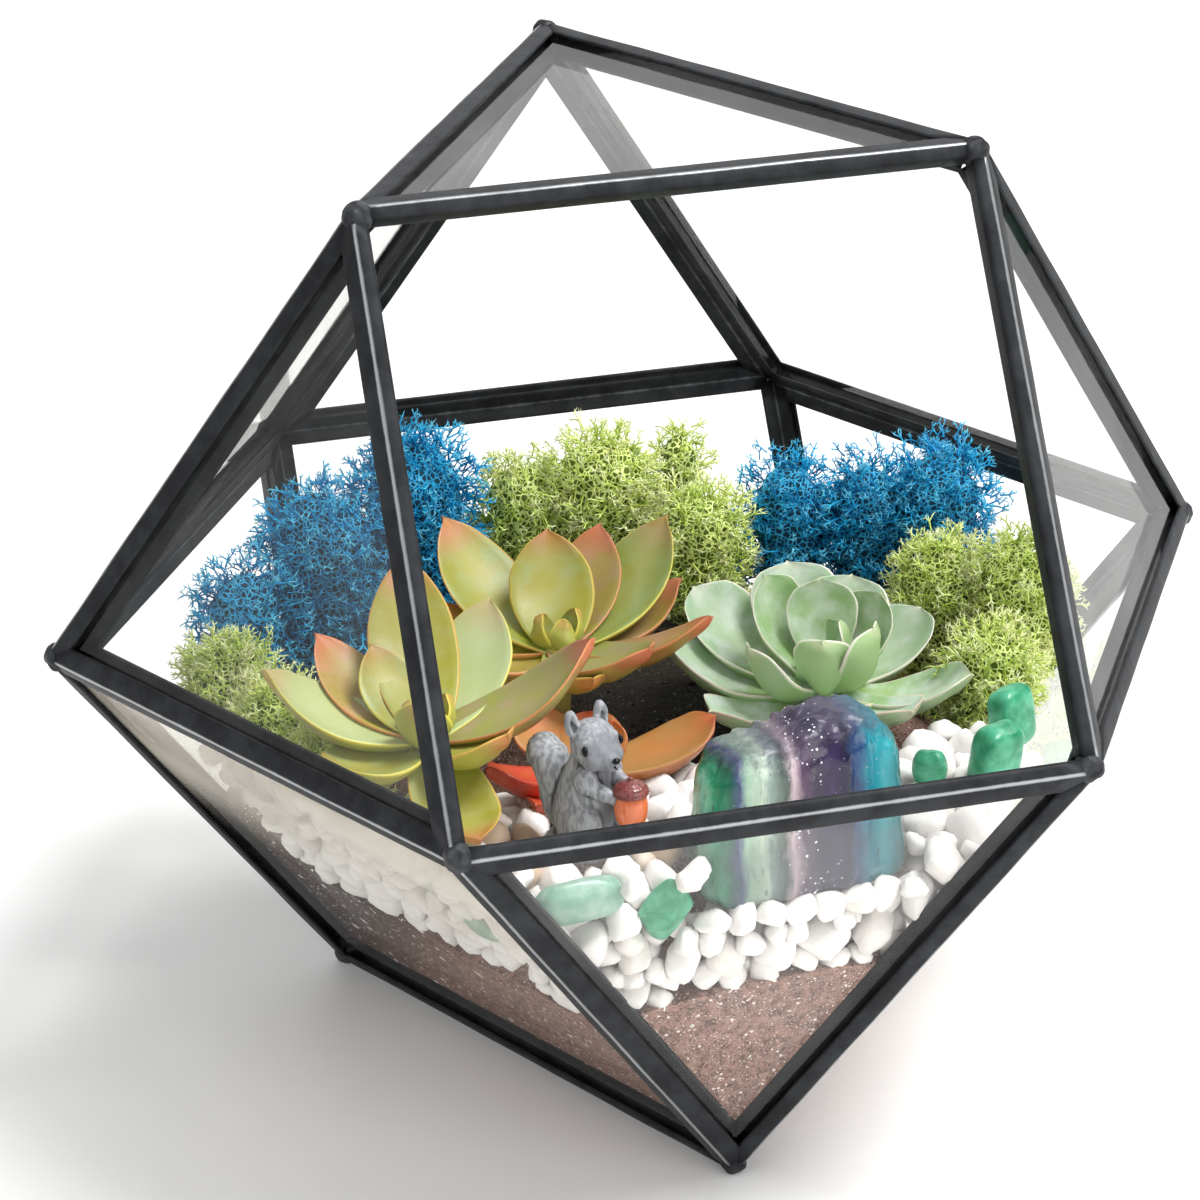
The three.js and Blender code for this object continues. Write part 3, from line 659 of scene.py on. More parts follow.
def cameOutline(halfAngle, openSides):
    sine, cosine = math.sin(halfAngle), math.cos(halfAngle)

    def stop(reach, depth, side, rounding, steps, wear=0.0):
        x, y = side * (reach * sine - depth * cosine), reach * cosine + depth * sine
        return (x, y, rounding, steps, wear)

    def sideStops(side):
        lip, bead, wear = lead["lipRound"], lead["beadRound"], lead["lipWearAndHighlight"]
        deep = jar["cameDepth"]
        if side in openSides:
            return [stop(jar["mouthBead"], depth, side, bead, 4, lead["beadWearAndHighlight"]) for depth in (0, deep)]
        return [
            stop(jar["outerFlange"], 0, side, lip, 3, wear),
            stop(jar["outerFlange"], jar["leadThickness"], side, lip, 2),
            stop(jar["webReach"], jar["leadThickness"], side, 0, 1),
            stop(jar["webReach"], jar["channelEnd"], side, 0, 1),
            stop(jar["innerFlange"], jar["channelEnd"], side, lip, 2),
            stop(jar["innerFlange"], deep, side, lip, 3, wear),
        ]

    ridge = (0, 0, lead["ridgeRound"], 7, 1.0)
    innerRidge = (0, jar["cameDepth"] / sine, 1.2, 5, 0.6)
    return roundedOutline([ridge, *sideStops(1), innerRidge, *sideStops(-1)[::-1]])


def cameBar(pair, names, seed):
    start, end = corners[pair[0]], corners[pair[1]]
    along = unit(end - start)
    middle = (start + end) / 2
    reaches = [unit(middles[name] - middle) for name in names]
    inward = unit(reaches[0] + reaches[1])
    sideways = np.cross(inward, along)
    halfAngle = math.acos(np.clip(reaches[0] @ reaches[1], -1, 1)) / 2
    openSides = [np.sign(reach @ sideways) for reach, name in zip(reaches, names) if name == "mouth"]
    outline, wear = cameOutline(halfAngle, openSides)
    flat = start + outline[:, :1] * sideways + outline[:, 1:] * inward
    low, high = np.full(len(flat), -np.inf), np.full(len(flat), np.inf)
    for point in (start, end):
        for name in names:
            mitre = unit(np.cross(point - jarCentre, middles[name] - jarCentre))
            mitre *= np.sign(mitre @ (middle - jarCentre))
            crossing = -((flat - jarCentre) @ mitre) / (along @ mitre)
            if along @ mitre > 0:
                low = np.maximum(low, crossing)
            else:
                high = np.minimum(high, crossing)
    draw = np.random.default_rng(seed)
    phases = draw.uniform(0, 2 * math.pi, (lead["waves"], 2))
    rings = []
    for share in np.linspace(0, 1, lead["stations"]):
        reach = low + (high - low) * share
        points = flat + reach[:, None] * along
        wave = 0
        for k, (shift, sway) in enumerate(phases):
            ripple = math.sin(share * (9 + 8 * k) + shift)
            wave = wave + ripple * np.cos(outline[:, 0] * (0.5 + 0.4 * k) + sway)
        ends = smoothStep(0.5 - abs(share - 0.5), 0, lead["calmEnds"])
        amount = (lead["uneven"] + (lead["ridgeUneven"] - lead["uneven"]) * wear) * wave / 3 * ends
        outwards = -inward * (outline[:, 1] < lead["unevenDepth"])[:, None]
        rings.append(points + amount[:, None] * outwards)
    points, faces = loft(rings)
    ridge = np.concatenate([np.tile(wear, lead["stations"]), [0, 0]])
    return Shape().add(aboveFloor(points), faces, wear=ridge)


def solderSites():
    names = list(corners)
    points = np.array([corners[n] + unit(jarCentre - corners[n]) * lead["blobDepth"] for n in names])
    return {
        "points": points,
        "facing": unit(points - jarCentre),
        "size": np.ones(len(names)),
        "kind": np.arange(len(names)) % lead["blobShapes"],
    }


def solderLump(seed):
    points, faces = ball(4)
    swell = 1 + lead["blobLumps"] * lumps(points, 0.9, seed)
    return Shape().add(points * swell[:, None] * (1.03, 0.97, 1), faces, wear=0.5).mesh(f"solder_{seed}")


def cameFinish():
    metal = Finish("came_metal")
    wear = metal.value("wear")
    patches = metal.grain(6, 3, 0.65)
    streaks = metal.grain(1.3, 2, 0.6, metal.place((1, 1, 0.35)))
    # worn metal on the ridges and lips, and a painted highlight: a light line along each crest
    scuffedAndHighlit = (wear + patches * 0.3 + streaks * 0.16 - 0.22).between(0.45, 0.95)
    patina = metal.mix(lead["dark"], lead["grey"], patches.between(0.3, 0.7))
    colour = metal.mix(patina, lead["wornAndHighlight"], scuffedAndHighlit)
    rough = 0.46 - 0.18 * scuffedAndHighlit + 0.14 * streaks
    relief = metal.relief(metal.grain(1.1, 1), 0.06, 0.4)
    shine = scuffedAndHighlit * 0.5 + 0.3
    return metal.painted(colour, rough, relief, {"Metallic": shine, "Specular IOR Level": 0.2})


leadFinish = cameFinish()
for seed, (pair, names) in enumerate(edges.items()):
    label = "_to_".join(pair)
    mesh = cameBar(pair, names, seed + 3).mesh("bar_" + label)
    addPiece("bar_" + label, mesh, leadFinish, "came_metal", ["came_" + label])
lumpShapes = [solderLump(seed) for seed in range(lead["blobShapes"])]
blobSizes = (lead["blobRadius"], lead["blobSpread"])
joints = scatter("solder_joints", solderSites(), lumpShapes, leadFinish, *blobSizes, seed=4)
moveTo(joints, aboveFloor(coordinates(joints)))
addPiece("solder_joints", joints, leadFinish, "came_metal")
print("came and solder done")


# The ground: how high the soil and the pebble bed stand
ground = {
    "rim": 44.0, "crown": 62.0, "slope": (28, 68), "ripple": 0.9, "trough": 28.0, "troughStart": 49.0,
    "bedThickness": 2.5, "openTop": 67, "mossTop": 47, "mossSlope": (-20, 6),
}


def leftWallPlace(x, y):
    return -x * math.cos(math.pi / 6) - y / 2, -x / 2 + y * math.cos(math.pi / 6)


def soilHeight(x, y):
    slope = 1 - smoothStep(np.hypot(x, y), *ground["slope"])
    ripple = ground["ripple"] * np.sin(x / 9) * np.cos(y / 11)
    crown = ground["rim"] + (ground["crown"] - ground["rim"]) * slope + ripple
    outwards, along = leftWallPlace(x, y)
    ends = np.maximum(0, np.maximum(1.4 * (along - 32), 0.45 * (-30 - along)))
    return np.minimum(crown, ground["trough"] + np.maximum(0, ground["troughStart"] - outwards) + ends)


def bedTop(x, y):
    along = leftWallPlace(x, y)[1]
    front = np.clip((-50 - y) / 27, 0, 1)
    opening = ground["openTop"] + front * (3.4 - 0.125 * (x + 22))
    underMoss = smoothStep(along, *ground["mossSlope"])
    return opening + (ground["mossTop"] - opening) * underMoss if x < -36 else opening


# Plants: every leaf is lofted from the same outlines as its solid
fleshy = {
    "thickness": 3.3, "cup": 0.14, "sag": 0.14,
    "outline": [[0, 0.42], [0.22, 0.82], [0.5, 1.04], [0.76, 0.86], [0.92, 0.42], [1, 0.08]],
}
spoon = {
    "thickness": 2.8, "cup": 0.3, "sag": 0.17,
    "outline": [[0, 0.4], [0.3, 0.6], [0.62, 1], [0.84, 0.94], [0.95, 0.62], [1, 0.3]],
}
stubby = {
    "thickness": 4.2, "cup": 0.06, "sag": 0.12,
    "outline": [[0, 0.45], [0.28, 0.86], [0.58, 1.08], [0.82, 0.96], [0.95, 0.6], [1, 0.3]],
}

# Leaves are listed as azimuth, lift, length, width, and how far the sun has reddened them
plants = {
    "gold_succulent_front": {
        "piece": "gold_leaves_front", "slot": "gold_leaf", "centre": (-46, -45, 82), "foot": 60, "stem": 2.2,
        "style": fleshy, "buds": (3, 8, 5),
        "leaves": [
            (160, 24, 28, 15, 0.12), (203, 6, 20, 14, 0.3), (124, 24, 27, 12, 0.85), (86, 42, 32, 14, 0.6),
            (52, 30, 28, 14, 0.1), (-10, 31, 31, 15, 0.82), (-56, 20, 19, 13, 0.55), (-83, -14, 25, 13, 0.55),
            (112, 34, 19, 11, 0.25), (-110, 55, 12, 9, 0.3),
        ],
    },
    "gold_succulent_back": {
        "piece": "gold_leaves_back", "slot": "gold_leaf", "centre": (-17, -12, 78), "foot": 57, "stem": 2.0,
        "style": fleshy, "buds": (3, 8, 5),
        "leaves": [
            (121, 31, 32, 15, 0.58), (82, 46, 22, 14, 0.5), (34, 28, 32, 15, 0.21), (56, 33, 26, 12, 0.9),
            (20, 14, 26, 11, 0.9), (-22, 16, 27, 7, 1.0), (-56, 18, 22, 14, 0.8), (-84, 9, 18, 11, 0.5),
            (190, 8, 18, 11, 0.8), (145, 13, 24, 11, 0.9),
        ],
    },
    "jade_echeveria": {
        "piece": "jade_leaves", "slot": "jade_leaf", "centre": (27, -22, 69), "foot": 55, "stem": 2.2,
        "style": spoon, "buds": (6, 9, 6),
        "leaves": [
            (89, 30, 27, 16, 0.3), (60, 30, 24, 15, 0.2), (128, 23, 30, 17, 0.3), (161, 18, 29, 15, 0.5),
            (203, 9, 25, 13, 0.6), (32, 14, 26, 14, 0.3), (-22, 9, 25, 13, 0.4), (-60, 8, 20, 13, 0.7),
            (-97, 12, 17, 12, 0.6), (196, 38, 19, 10, 0.2), (122, 52, 22, 12, 0.1), (78, 62, 19, 12, 0.1),
            (22, 50, 19, 12, 0.1), (-40, 56, 16, 12, 0.1), (-110, 62, 14, 10, 0.1), (0, 78, 13, 9, 0.1),
        ],
    },
    "bronze_succulent": {
        "piece": "bronze_leaves", "slot": "bronze_leaf", "centre": (-17, -38, 68), "foot": 52, "stem": 1.8,
        "style": stubby, "buds": (4, 7, 5),
        "leaves": [
            (10, 14, 22, 12, 0.45), (82, 18, 14, 10, 0.6), (124, 20, 17, 12, 0.6), (196, 18, 21, 8, 1.0),
            (219, 3, 16, 9, 1.0), (-62, -12, 9, 8, 0.7), (40, 55, 9, 7, 0.5),
        ],
    },
}
leafGrid = {"stations": 22, "around": 18, "twist": 5.0, "stemRings": 14, "budTurn": 137.5}


def leafLoft(length, width, style, twist):
    shares = 1 - (1 - np.linspace(0, 1, leafGrid["stations"])) ** 1.35
    count = leafGrid["around"]
    across, edgeOn = np.cos(around(count)), np.sin(around(count))
    rings = []
    for u, wide in zip(shares, smoothCurve(style["outline"], shares)[:, 0]):
        closing = math.sqrt(max(0.03, 1 - max(0, (u - 0.9) / 0.1) ** 2))
        half = width / 2 * wide * closing
        body = style["thickness"] * (0.45 + 0.55 * math.sin(math.pi * min(u + 0.12, 0.93)))
        body *= 0.45 + 0.55 * closing
        rim = style["cup"] * half + 0.3 * body
        middle = -0.25 * body + (rim + 0.25 * body) * across**2
        flesh = 0.5 * body * np.sign(edgeOn) * np.abs(edgeOn) ** 1.25
        flesh *= np.where(edgeOn > 0, 1 - 0.12 * np.cos(3 * math.pi * across), 1)
        ring = turned(columns(u * length, half * across, middle + flesh), "X", twist * u)
        ring[:, 2] -= style["sag"] * length * math.sin(math.pi * u)
        rings.append(ring)
    points, faces = loft(rings)
    points[-1, 0] += 0.025 * length
    values = {
        "alongLeaf": np.append(np.repeat(shares, count), [0, 1.03]),
        "acrossLeaf": np.append(np.tile(across, len(shares)), [0, 0]),
        "upperSide": np.append(np.tile(edgeOn > 0.05, len(shares)), [0, 1]),
    }
    return points, faces, values


def rosette(plant, seed):
    shape = Shape()
    draw = np.random.default_rng(seed)
    centre = np.array(plant["centre"], float)
    budCount, budLength, budWidth = plant["buds"]
    buds = [
        (leafGrid["budTurn"] * i + 20, 60 + 24 * i / budCount, budLength * (1 - 0.08 * i), budWidth, 0.2)
        for i in range(budCount)
    ]
    for azimuth, lift, length, width, sun in [*plant["leaves"], *buds]:
        twist = draw.uniform(-1, 1) * leafGrid["twist"]
        points, faces, values = leafLoft(length, width, plant["style"], twist)
        points = turned(turned(points, "Y", -lift), "Z", azimuth) + centre
        shape.add(points, faces, **values, leafTint=draw.uniform(), sun=sun)
    height = centre[2] - plant["foot"]
    rings, angles = [], around(leafGrid["stemRings"])
    for t in np.linspace(0, 1, leafGrid["stemRings"]):
        radius = plant["stem"] * (1.05 + 0.12 * math.sin(9 * t + seed)) * (1 + 0.5 * max(0, t - 0.8))
        ring = columns(np.cos(angles) * radius, np.sin(angles) * radius, t * height)
        rings.append(ring + (centre[0], centre[1], plant["foot"]))
    points, faces = loft(rings)
    shape.add(points, faces, alongLeaf=0, sun=0.9, leafTint=0.5, upperSide=0)
    heart, heartFaces = ball(3)
    shape.add(heart * (plant["stem"] + 1.2) + centre - (0, 0, 1), heartFaces, alongLeaf=0.05, sun=0.3)
    return shape


def leafFinish(name, look):
    leaf = Finish(name)
    along, across = leaf.value("alongLeaf"), abs(leaf.value("acrossLeaf"))
    upper, tint, sun = leaf.value("upperSide"), leaf.value("leafTint"), leaf.value("sun")
    clouds = leaf.grain(4.5, 3, 0.55)
    mottle = leaf.grain(0.7, 2, 0.6)
    rim = (across + clouds * 0.05 - 0.025).between(look["rimStart"], 0.985)
    tip = (along + clouds * 0.16 - 0.08).between(look["tipStart"], 1.0)
    base = leaf.mix(look["heart"], look["blade"], along.between(0.05, look["heartReach"]))
    base = leaf.mix(base, look["cool"], (clouds + tint * 0.5).between(0.55, 1.05))
    # painted highlight: the middle of each leaf's upper side is lighter
    paintedHighlight = (1 - across).between(0.15, 1) * upper * along.between(0.15, 0.6)
    base = leaf.mix(base, look["paintedHighlight"], paintedHighlight * look["paintedHighlightShare"])
    base = leaf.mix(base, look["young"], sun.between(0.2, 0.1) * look["youngShare"])
    under = leaf.mix(base, look["underside"], (1 - upper) * look["underShare"])
    flushShare = (sun * 1.2 + tip * 0.4 + rim * 0.15 + clouds * 0.7 - 0.8).between(0.25, 0.95)
    flush = leaf.mix(look["blush"], look["blushDeep"], (tint + (1 - along) * 0.5).between(0.3, 1.2))
    coloured = leaf.mix(under, flush, flushShare * look["blushShare"])
    tipped = leaf.mix(coloured, look["tip"], tip * (0.35 + 0.65 * sun) * look["tipShare"])
    rimColour = leaf.mix(look["rim"], look["rimSun"], sun.between(0.3, 0.8))
    edged = leaf.mix(tipped, rimColour, rim * look["rimShare"])
    spotted = leaf.mix(edged, look["blushDeep"], mottle.between(0.66, 0.74) * sun * 0.35)
    bloom = leaf.mix(spotted, "#dfe8e0", clouds.between(0.35, 0.75) * upper * look["powder"])
    relief = leaf.relief(mottle, 0.1, 0.35)
    rough = look["rough"] + 0.14 * mottle
    return leaf.painted(bloom, rough, relief, {"Coat Weight": look["coat"], "Coat Roughness": 0.35})


leafLooks = {
    "gold_leaf": {
        "heart": "#989f30", "heartReach": 0.55, "blade": "#9a9534", "cool": "#879a4a", "paintedHighlight": "#b4af60",
        "paintedHighlightShare": 0.42, "young": "#b7c893", "youngShare": 0.78, "underside": "#bdb956", "underShare": 0.6,
        "blush": "#bb7d42", "blushDeep": "#9a5d4c", "blushShare": 0.85, "tip": "#cc6a48", "tipStart": 0.74,
        "tipShare": 0.8, "rim": "#dccf52", "rimSun": "#d98a55", "rimStart": 0.935, "rimShare": 0.8,
        "powder": 0.1, "rough": 0.36, "coat": 0.1,
    },
    "jade_leaf": {
        "heart": "#86b03a", "heartReach": 0.85, "blade": "#a6c59c", "cool": "#b9cfbc", "paintedHighlight": "#c2d4b6",
        "paintedHighlightShare": 0.6, "young": "#93b876", "youngShare": 0.75, "underside": "#a6c286", "underShare": 0.6,
        "blush": "#a99c84", "blushDeep": "#7f8a66", "blushShare": 0.3, "tip": "#e3c9b4", "tipStart": 0.93,
        "tipShare": 0.5, "rim": "#f7f0e2", "rimSun": "#e6c3b0", "rimStart": 0.92, "rimShare": 0.9,
        "powder": 0.6, "rough": 0.4, "coat": 0.08,
    },
    "bronze_leaf": {
        "heart": "#8a8f45", "heartReach": 0.55, "blade": "#c67f42", "cool": "#b98a50", "paintedHighlight": "#dd8a4c",
        "paintedHighlightShare": 0.5, "young": "#b9b45a", "youngShare": 0.3, "underside": "#bb5f38", "underShare": 0.5,
        "blush": "#e0552c", "blushDeep": "#d02a20", "blushShare": 1.0, "tip": "#cf6a3c", "tipStart": 0.75,
        "tipShare": 0.5, "rim": "#cf9a72", "rimSun": "#cf5a42", "rimStart": 0.94, "rimShare": 0.4,
        "powder": 0.03, "rough": 0.26, "coat": 0.35,
    },
}
leafFinishes = {name: leafFinish(name, look) for name, look in leafLooks.items()}
for seed, (name, plant) in enumerate(plants.items()):
    mesh = rosette(plant, seed + 31).mesh(plant["piece"])
    addPiece(plant["piece"], mesh, leafFinishes[plant["slot"]], plant["slot"], [name])
print("plants done")


# Moss: sprigs that fork, rooted just under the surface of each clump's solid
moss = {
    "forks": 3, "trunk": (1.9, 0.2), "branch": (1.3, 0.165), "tip": (1.15, 0.135), "reach": 4.2,
    "variants": 8, "spread": 0.3, "heartFloor": 42, "heartVoxel": 0.95, "heartLumps": 1.3, "spareSites": 1.7,
    "leafGaps": (0.4, 3), "leftDepth": 11, "leftTop": 67,
    "clumps": {
        "blue_moss_left": {
            "piece": "blue_sprigs_left", "slot": "blue_moss", "sprigs": 3000, "size": 0.92, "heart": 0.7,
            "layers": 5.0,
            "lobes": [
                ((-64, 30, 73), (9, 9, 10)), ((-48, 38, 79), (13, 12, 15)), ((-30, 46, 84), (12, 12, 15)),
            ],
        },
        "blue_moss_right": {
            "piece": "blue_sprigs_right", "slot": "blue_moss", "sprigs": 2800, "size": 0.82, "heart": 0.72,
            "layers": 5.0,
            "lobes": [((38, 36, 76), (9, 9, 12)), ((52, 32, 77), (9, 9, 11)), ((64, 27, 80), (10, 9, 11))],
        },
        "green_moss_back": {
            "piece": "green_sprigs_back", "slot": "green_moss", "sprigs": 2900, "size": 0.92, "heart": 0.76,
            "layers": 3.6,
            "lobes": [
                ((-9, 50, 77), (9, 9, 11)), ((5, 48, 81), (11, 10, 11)), ((20, 32, 76), (9, 9, 10)),
                ((22, 54, 82), (4.5, 4.5, 5)),
            ],
        },
        "green_moss_right": {
            "piece": "green_sprigs_right", "slot": "green_moss", "sprigs": 2500, "size": 0.88, "heart": 0.77,
            "layers": 3.4,
            "lobes": [((57, 4, 72), (9, 9, 11)), ((68, -4, 73), (9, 11, 13)), ((56, -24, 70), (8, 8, 9))],
        },
        "green_moss_left": {
            "piece": "green_sprigs_left", "slot": "green_moss", "sprigs": 1700, "size": 0.88, "heart": 0.77,
            "layers": 3.4,
            "lobes": [((-71, 4, 73), (7, 8, 8)), ((-65, -14, 72), (8, 9, 9)), ((-61, -33, 72), (6, 8, 7))],
        },
    },
}


def twig(shape, root, direction, length, radius, endRadius, shares):
    direction = unit(direction)
    side = unit(np.cross(direction, (0.31, 0.87, 0.38)))
    other = np.cross(direction, side)
    ring = [side * math.cos(a) + other * math.sin(a) for a in (0, 2 * math.pi / 3, 4 * math.pi / 3)]
    end = root + direction * length
    low = [root + spoke * radius for spoke in ring]
    if endRadius:
        high = [end + spoke * endRadius for spoke in ring]
        sides = [(i, (i + 1) % 3) for i in range(3)]
        faces = [face for a, b in sides for face in ([a, b, 3 + a], [b, 3 + b, 3 + a])]
        shape.add([*low, *high], faces, tipShare=[shares[0]] * 3 + [shares[1]] * 3)
    else:
        shape.add([*low, end], [[0, 1, 3], [1, 2, 3], [2, 0, 3]], tipShare=[shares[0]] * 3 + [shares[1]])
    return end


def sprig(seed):
    draw = np.random.default_rng(seed)
    shape = Shape()
    lean = draw.uniform(-0.25, 0.25, 3)
    top = twig(shape, np.zeros(3), lean + (0, 0, 1), *moss["trunk"], moss["branch"][1], (0, 0.3))
    turn = draw.uniform(0, 6)
    for i in range(moss["forks"]):
        angle = turn + 2 * math.pi * i / moss["forks"] + draw.uniform(-0.4, 0.4)
        out = draw.uniform(0.55, 1.15)
        away = np.array([math.cos(angle) * out, math.sin(angle) * out, 1])
        length = moss["branch"][0] * draw.uniform(0.75, 1.2)
        end = twig(shape, top - away * 0.05, away, length, moss["branch"][1], moss["tip"][1], (0.3, 0.65))
        for k in range(3 if i else 2):
            bend = unit(away) + unit(draw.normal(size=3)) * 1.15
            reach = moss["tip"][0] * draw.uniform(0.7, 1.25)
            twig(shape, end - unit(bend) * 0.05, bend, reach, moss["tip"][1], 0, (0.65, 1))
    return shape.mesh(f"sprig_{seed}", outward=False)


def triangles(mesh):
    mesh.calc_loop_triangles()
    corner = np.array([t.vertices[:] for t in mesh.loop_triangles])
    return coordinates(mesh)[corner]


def spotsOn(mesh, count, draw, allowed):  # places spread evenly over a surface
    faces = triangles(mesh)
    cross = np.cross(faces[:, 1] - faces[:, 0], faces[:, 2] - faces[:, 0])
    normal = unit(cross)
    area = np.linalg.norm(cross, axis=1) * allowed(faces.mean(1), normal)
    chosen = draw.choice(len(faces), count, p=area / area.sum())
    a, b = np.sqrt(draw.uniform(size=count)), draw.uniform(size=count)
    weights = np.column_stack([1 - a, a * (1 - b), a * b])
    return (faces[chosen] * weights[:, :, None]).sum(1), normal[chosen]


leafCorners = np.concatenate([triangles(frame["nodes"][name].data) for name in plants]).reshape(-1, 3)
leafTree = BVHTree.FromPolygons(leafCorners.tolist(), np.arange(len(leafCorners)).reshape(-1, 3).tolist())


def clearOfLeaves(points):
    keep = []
    least, most = moss["leafGaps"]
    for point in points:
        spot, normal, _, gap = leafTree.find_nearest(Vector(point))
        keep.append(gap > most or (gap > least and (Vector(point) - spot).dot(normal) > 0))
    return np.array(keep)


def standsOut(middle, normal):
    above = middle[:, 2] > soilHeight(middle[:, 0], middle[:, 1]) + 1
    return above * (0.15 + 0.85 * (normal[:, 2] > -0.5))


def mossSites(heart, clump, seed):
    draw = np.random.default_rng(seed)
    count, size = clump["sprigs"], clump["size"]
    reach = moss["reach"] * size
    spots, normals = spotsOn(heart, int(count * moss["spareSites"]), draw, standsOut)
    outward = unit(normals + (0, 0, 0.25) + 0.75 * draw.normal(size=spots.shape))
    lift = draw.uniform(size=len(spots)) ** 1.2
    points = spots + normals * (lift * clump["layers"] - 0.6)[:, None]
    points = keepInside(points, jar["glassInside"] + 1.2)
    for _ in range(2):
        tips = points + outward * reach
        outward = unit(keepInside(tips, jar["glassInside"] + 0.5) - points)
    rooted = clearOfLeaves(points)
    long, short = (clearOfLeaves(points + outward * reach * share) for share in (0.9, 0.45))
    leftGap = (points - middles["left_low"]) @ inwards["left_low"]
    rooted &= (points[:, 2] > moss["leftTop"]) | (leftGap > moss["leftDepth"])
    rooted &= points[:, 2] > soilHeight(points[:, 0], points[:, 1]) - 1
    chosen = np.flatnonzero(rooted & (long | short))[:count]
    share = np.where(long, 1, 0.5)[chosen]
    return {
        "points": points[chosen],
        "facing": outward[chosen],
        "size": size * share * draw.uniform(0.8, 1.15, len(chosen)),
        "kind": draw.integers(0, moss["variants"], len(chosen)),
        "tint": draw.uniform(size=len(chosen)),
        # how deep each sprig roots in the clump; the finish darkens deeper sprigs as painted shade
        "depth": 1 - lift[chosen],
    }


def mossHeart(clump, seed):  # the dense middle of a clump, seen between its sprigs; its dark gap colour is painted shade
    shape = Shape()
    for at, size in clump["lobes"]:
        points, faces = ball(4)
        points = points * np.array(size) * clump["heart"]
        drop = (at[2] - moss["heartFloor"]) / (size[2] * clump["heart"])
        points[:, 2] *= np.where(points[:, 2] < 0, drop, 1)
        shape.add(points + np.array(at), faces)
    mesh = blended(shape.mesh("lobes"), moss["heartVoxel"], 2)
    points = coordinates(mesh)
    normals = vertexNormals(mesh)
    points += normals * (moss["heartLumps"] * (lumps(points, 2.6, seed, 3) - 0.2))[:, None]
    low = points[:, 2] < moss["leftTop"] + 1
    points[low] = keepInside(points[low], moss["leftDepth"], ["left_low"])
    moveTo(mesh, keepInside(points, jar["glassInside"] + 0.8))
    mesh.shade_smooth()
    return mesh


def mossFinish(name, look):
    fibre = Finish(name)
    share, tint, depth = fibre.value("tipShare"), fibre.value("tint"), fibre.value("depth")
    patches = fibre.grain(8, 2, 0.6)
    # painted shade: sprigs rooted deeper in the clump are darker
    light = (share * 0.5 + tint * 0.3 + patches * 0.6 + 0.02 - depth * 0.35).between(0.0, 0.95)
    colour = fibre.ramp(light, look["stops"])
    patched = fibre.mix(colour, look["patch"], (patches + tint * 0.2).between(0.62, 0.8) * look["patchShare"])
    return fibre.painted(patched, 0.7 + 0.2 * tint, None, {"Specular IOR Level": 0.2})


def mossHeartFinish(name, look):
    mat = Finish(name)
    bent = mat.grain(2.2, 2, 0.5)
    strand = mat.cells(1.1, feature="DISTANCE_TO_EDGE").between(0.18, 0.02)
    light = (strand * 0.75 + bent * 0.5 - 0.3).between(0, 1.0)
    # the gap colour is painted shade deep between the sprigs
    colour = mat.ramp(light, [(0, look["gap"]), *look["stops"][1:]])
    return mat.painted(colour, 0.85, mat.relief(bent, 0.6))


mossLooks = {
    "blue_moss": {
        "gap": "#04384c", "stops": [(0, "#035a86"), (0.35, "#0788c4"), (0.7, "#28b0e2"), (1, "#7ad6f2")],
        "patch": "#1b8ad6", "patchShare": 0.5,
    },
    "green_moss": {
        "gap": "#56651c", "stops": [(0, "#9db63e"), (0.35, "#c9e26a"), (0.7, "#e4f394"), (1, "#f4fbca")],
        "patch": "#e4d978", "patchShare": 0.3,
    },
}
mossFinishes = {name: mossFinish(name, look) for name, look in mossLooks.items()}
heartFinishes = {name: mossHeartFinish(name + "_heart", look) for name, look in mossLooks.items()}
sprigMeshes = [sprig(seed + 200) for seed in range(moss["variants"])]
for seed, (name, clump) in enumerate(moss["clumps"].items()):
    finish = mossFinishes[clump["slot"]]
    heart = mossHeart(clump, seed + 3)
    sites = mossSites(heart, clump, seed + 60)
    mesh = scatter(clump["piece"], sites, sprigMeshes, finish, spread=moss["spread"], seed=seed)
    moveTo(mesh, keepInside(coordinates(mesh), jar["glassInside"]))
    addPiece(clump["piece"], mesh, finish, clump["slot"], [name])
    addPiece(clump["piece"].replace("sprigs", "heart"), heart, heartFinishes[clump["slot"]], clump["slot"])
print("moss done")


# White pebbles: the same seeded places as the solid bed, with smaller stones between
bed = {
    "radius": 3.8, "fill": 0.8, "smallest": 2.0, "largest": 3.3, "offBars": 5.4, "fillers": 900,
    "brownReach": 20, "brownFloor": 65, "brownDepth": 13, "brownShare": 0.85, "tries": 26000, "onWalls": 0.6,
    "white": ("#fdf9f7", "#f1ebe6"), "vein": "#dcd3cb",
    "warm": [(0, "#f5ebdf"), (0.45, "#e8d8c7"), (0.8, "#d3b9a2"), (1, "#a88a70")], "wallTop": 66.0,
    "low": (-88, -100, 28), "high": (66, 8, 74), "easing": 9000,
    "back": [
        (-88, -12), (-57, 8), (-46, -6), (-39, -26), (-30, -45), (-14, -44), (-8, -35), (4, -36), (12, -50),
        (28, -50), (44, -36), (66, -40), (66, -100), (-88, -100),
    ],
}
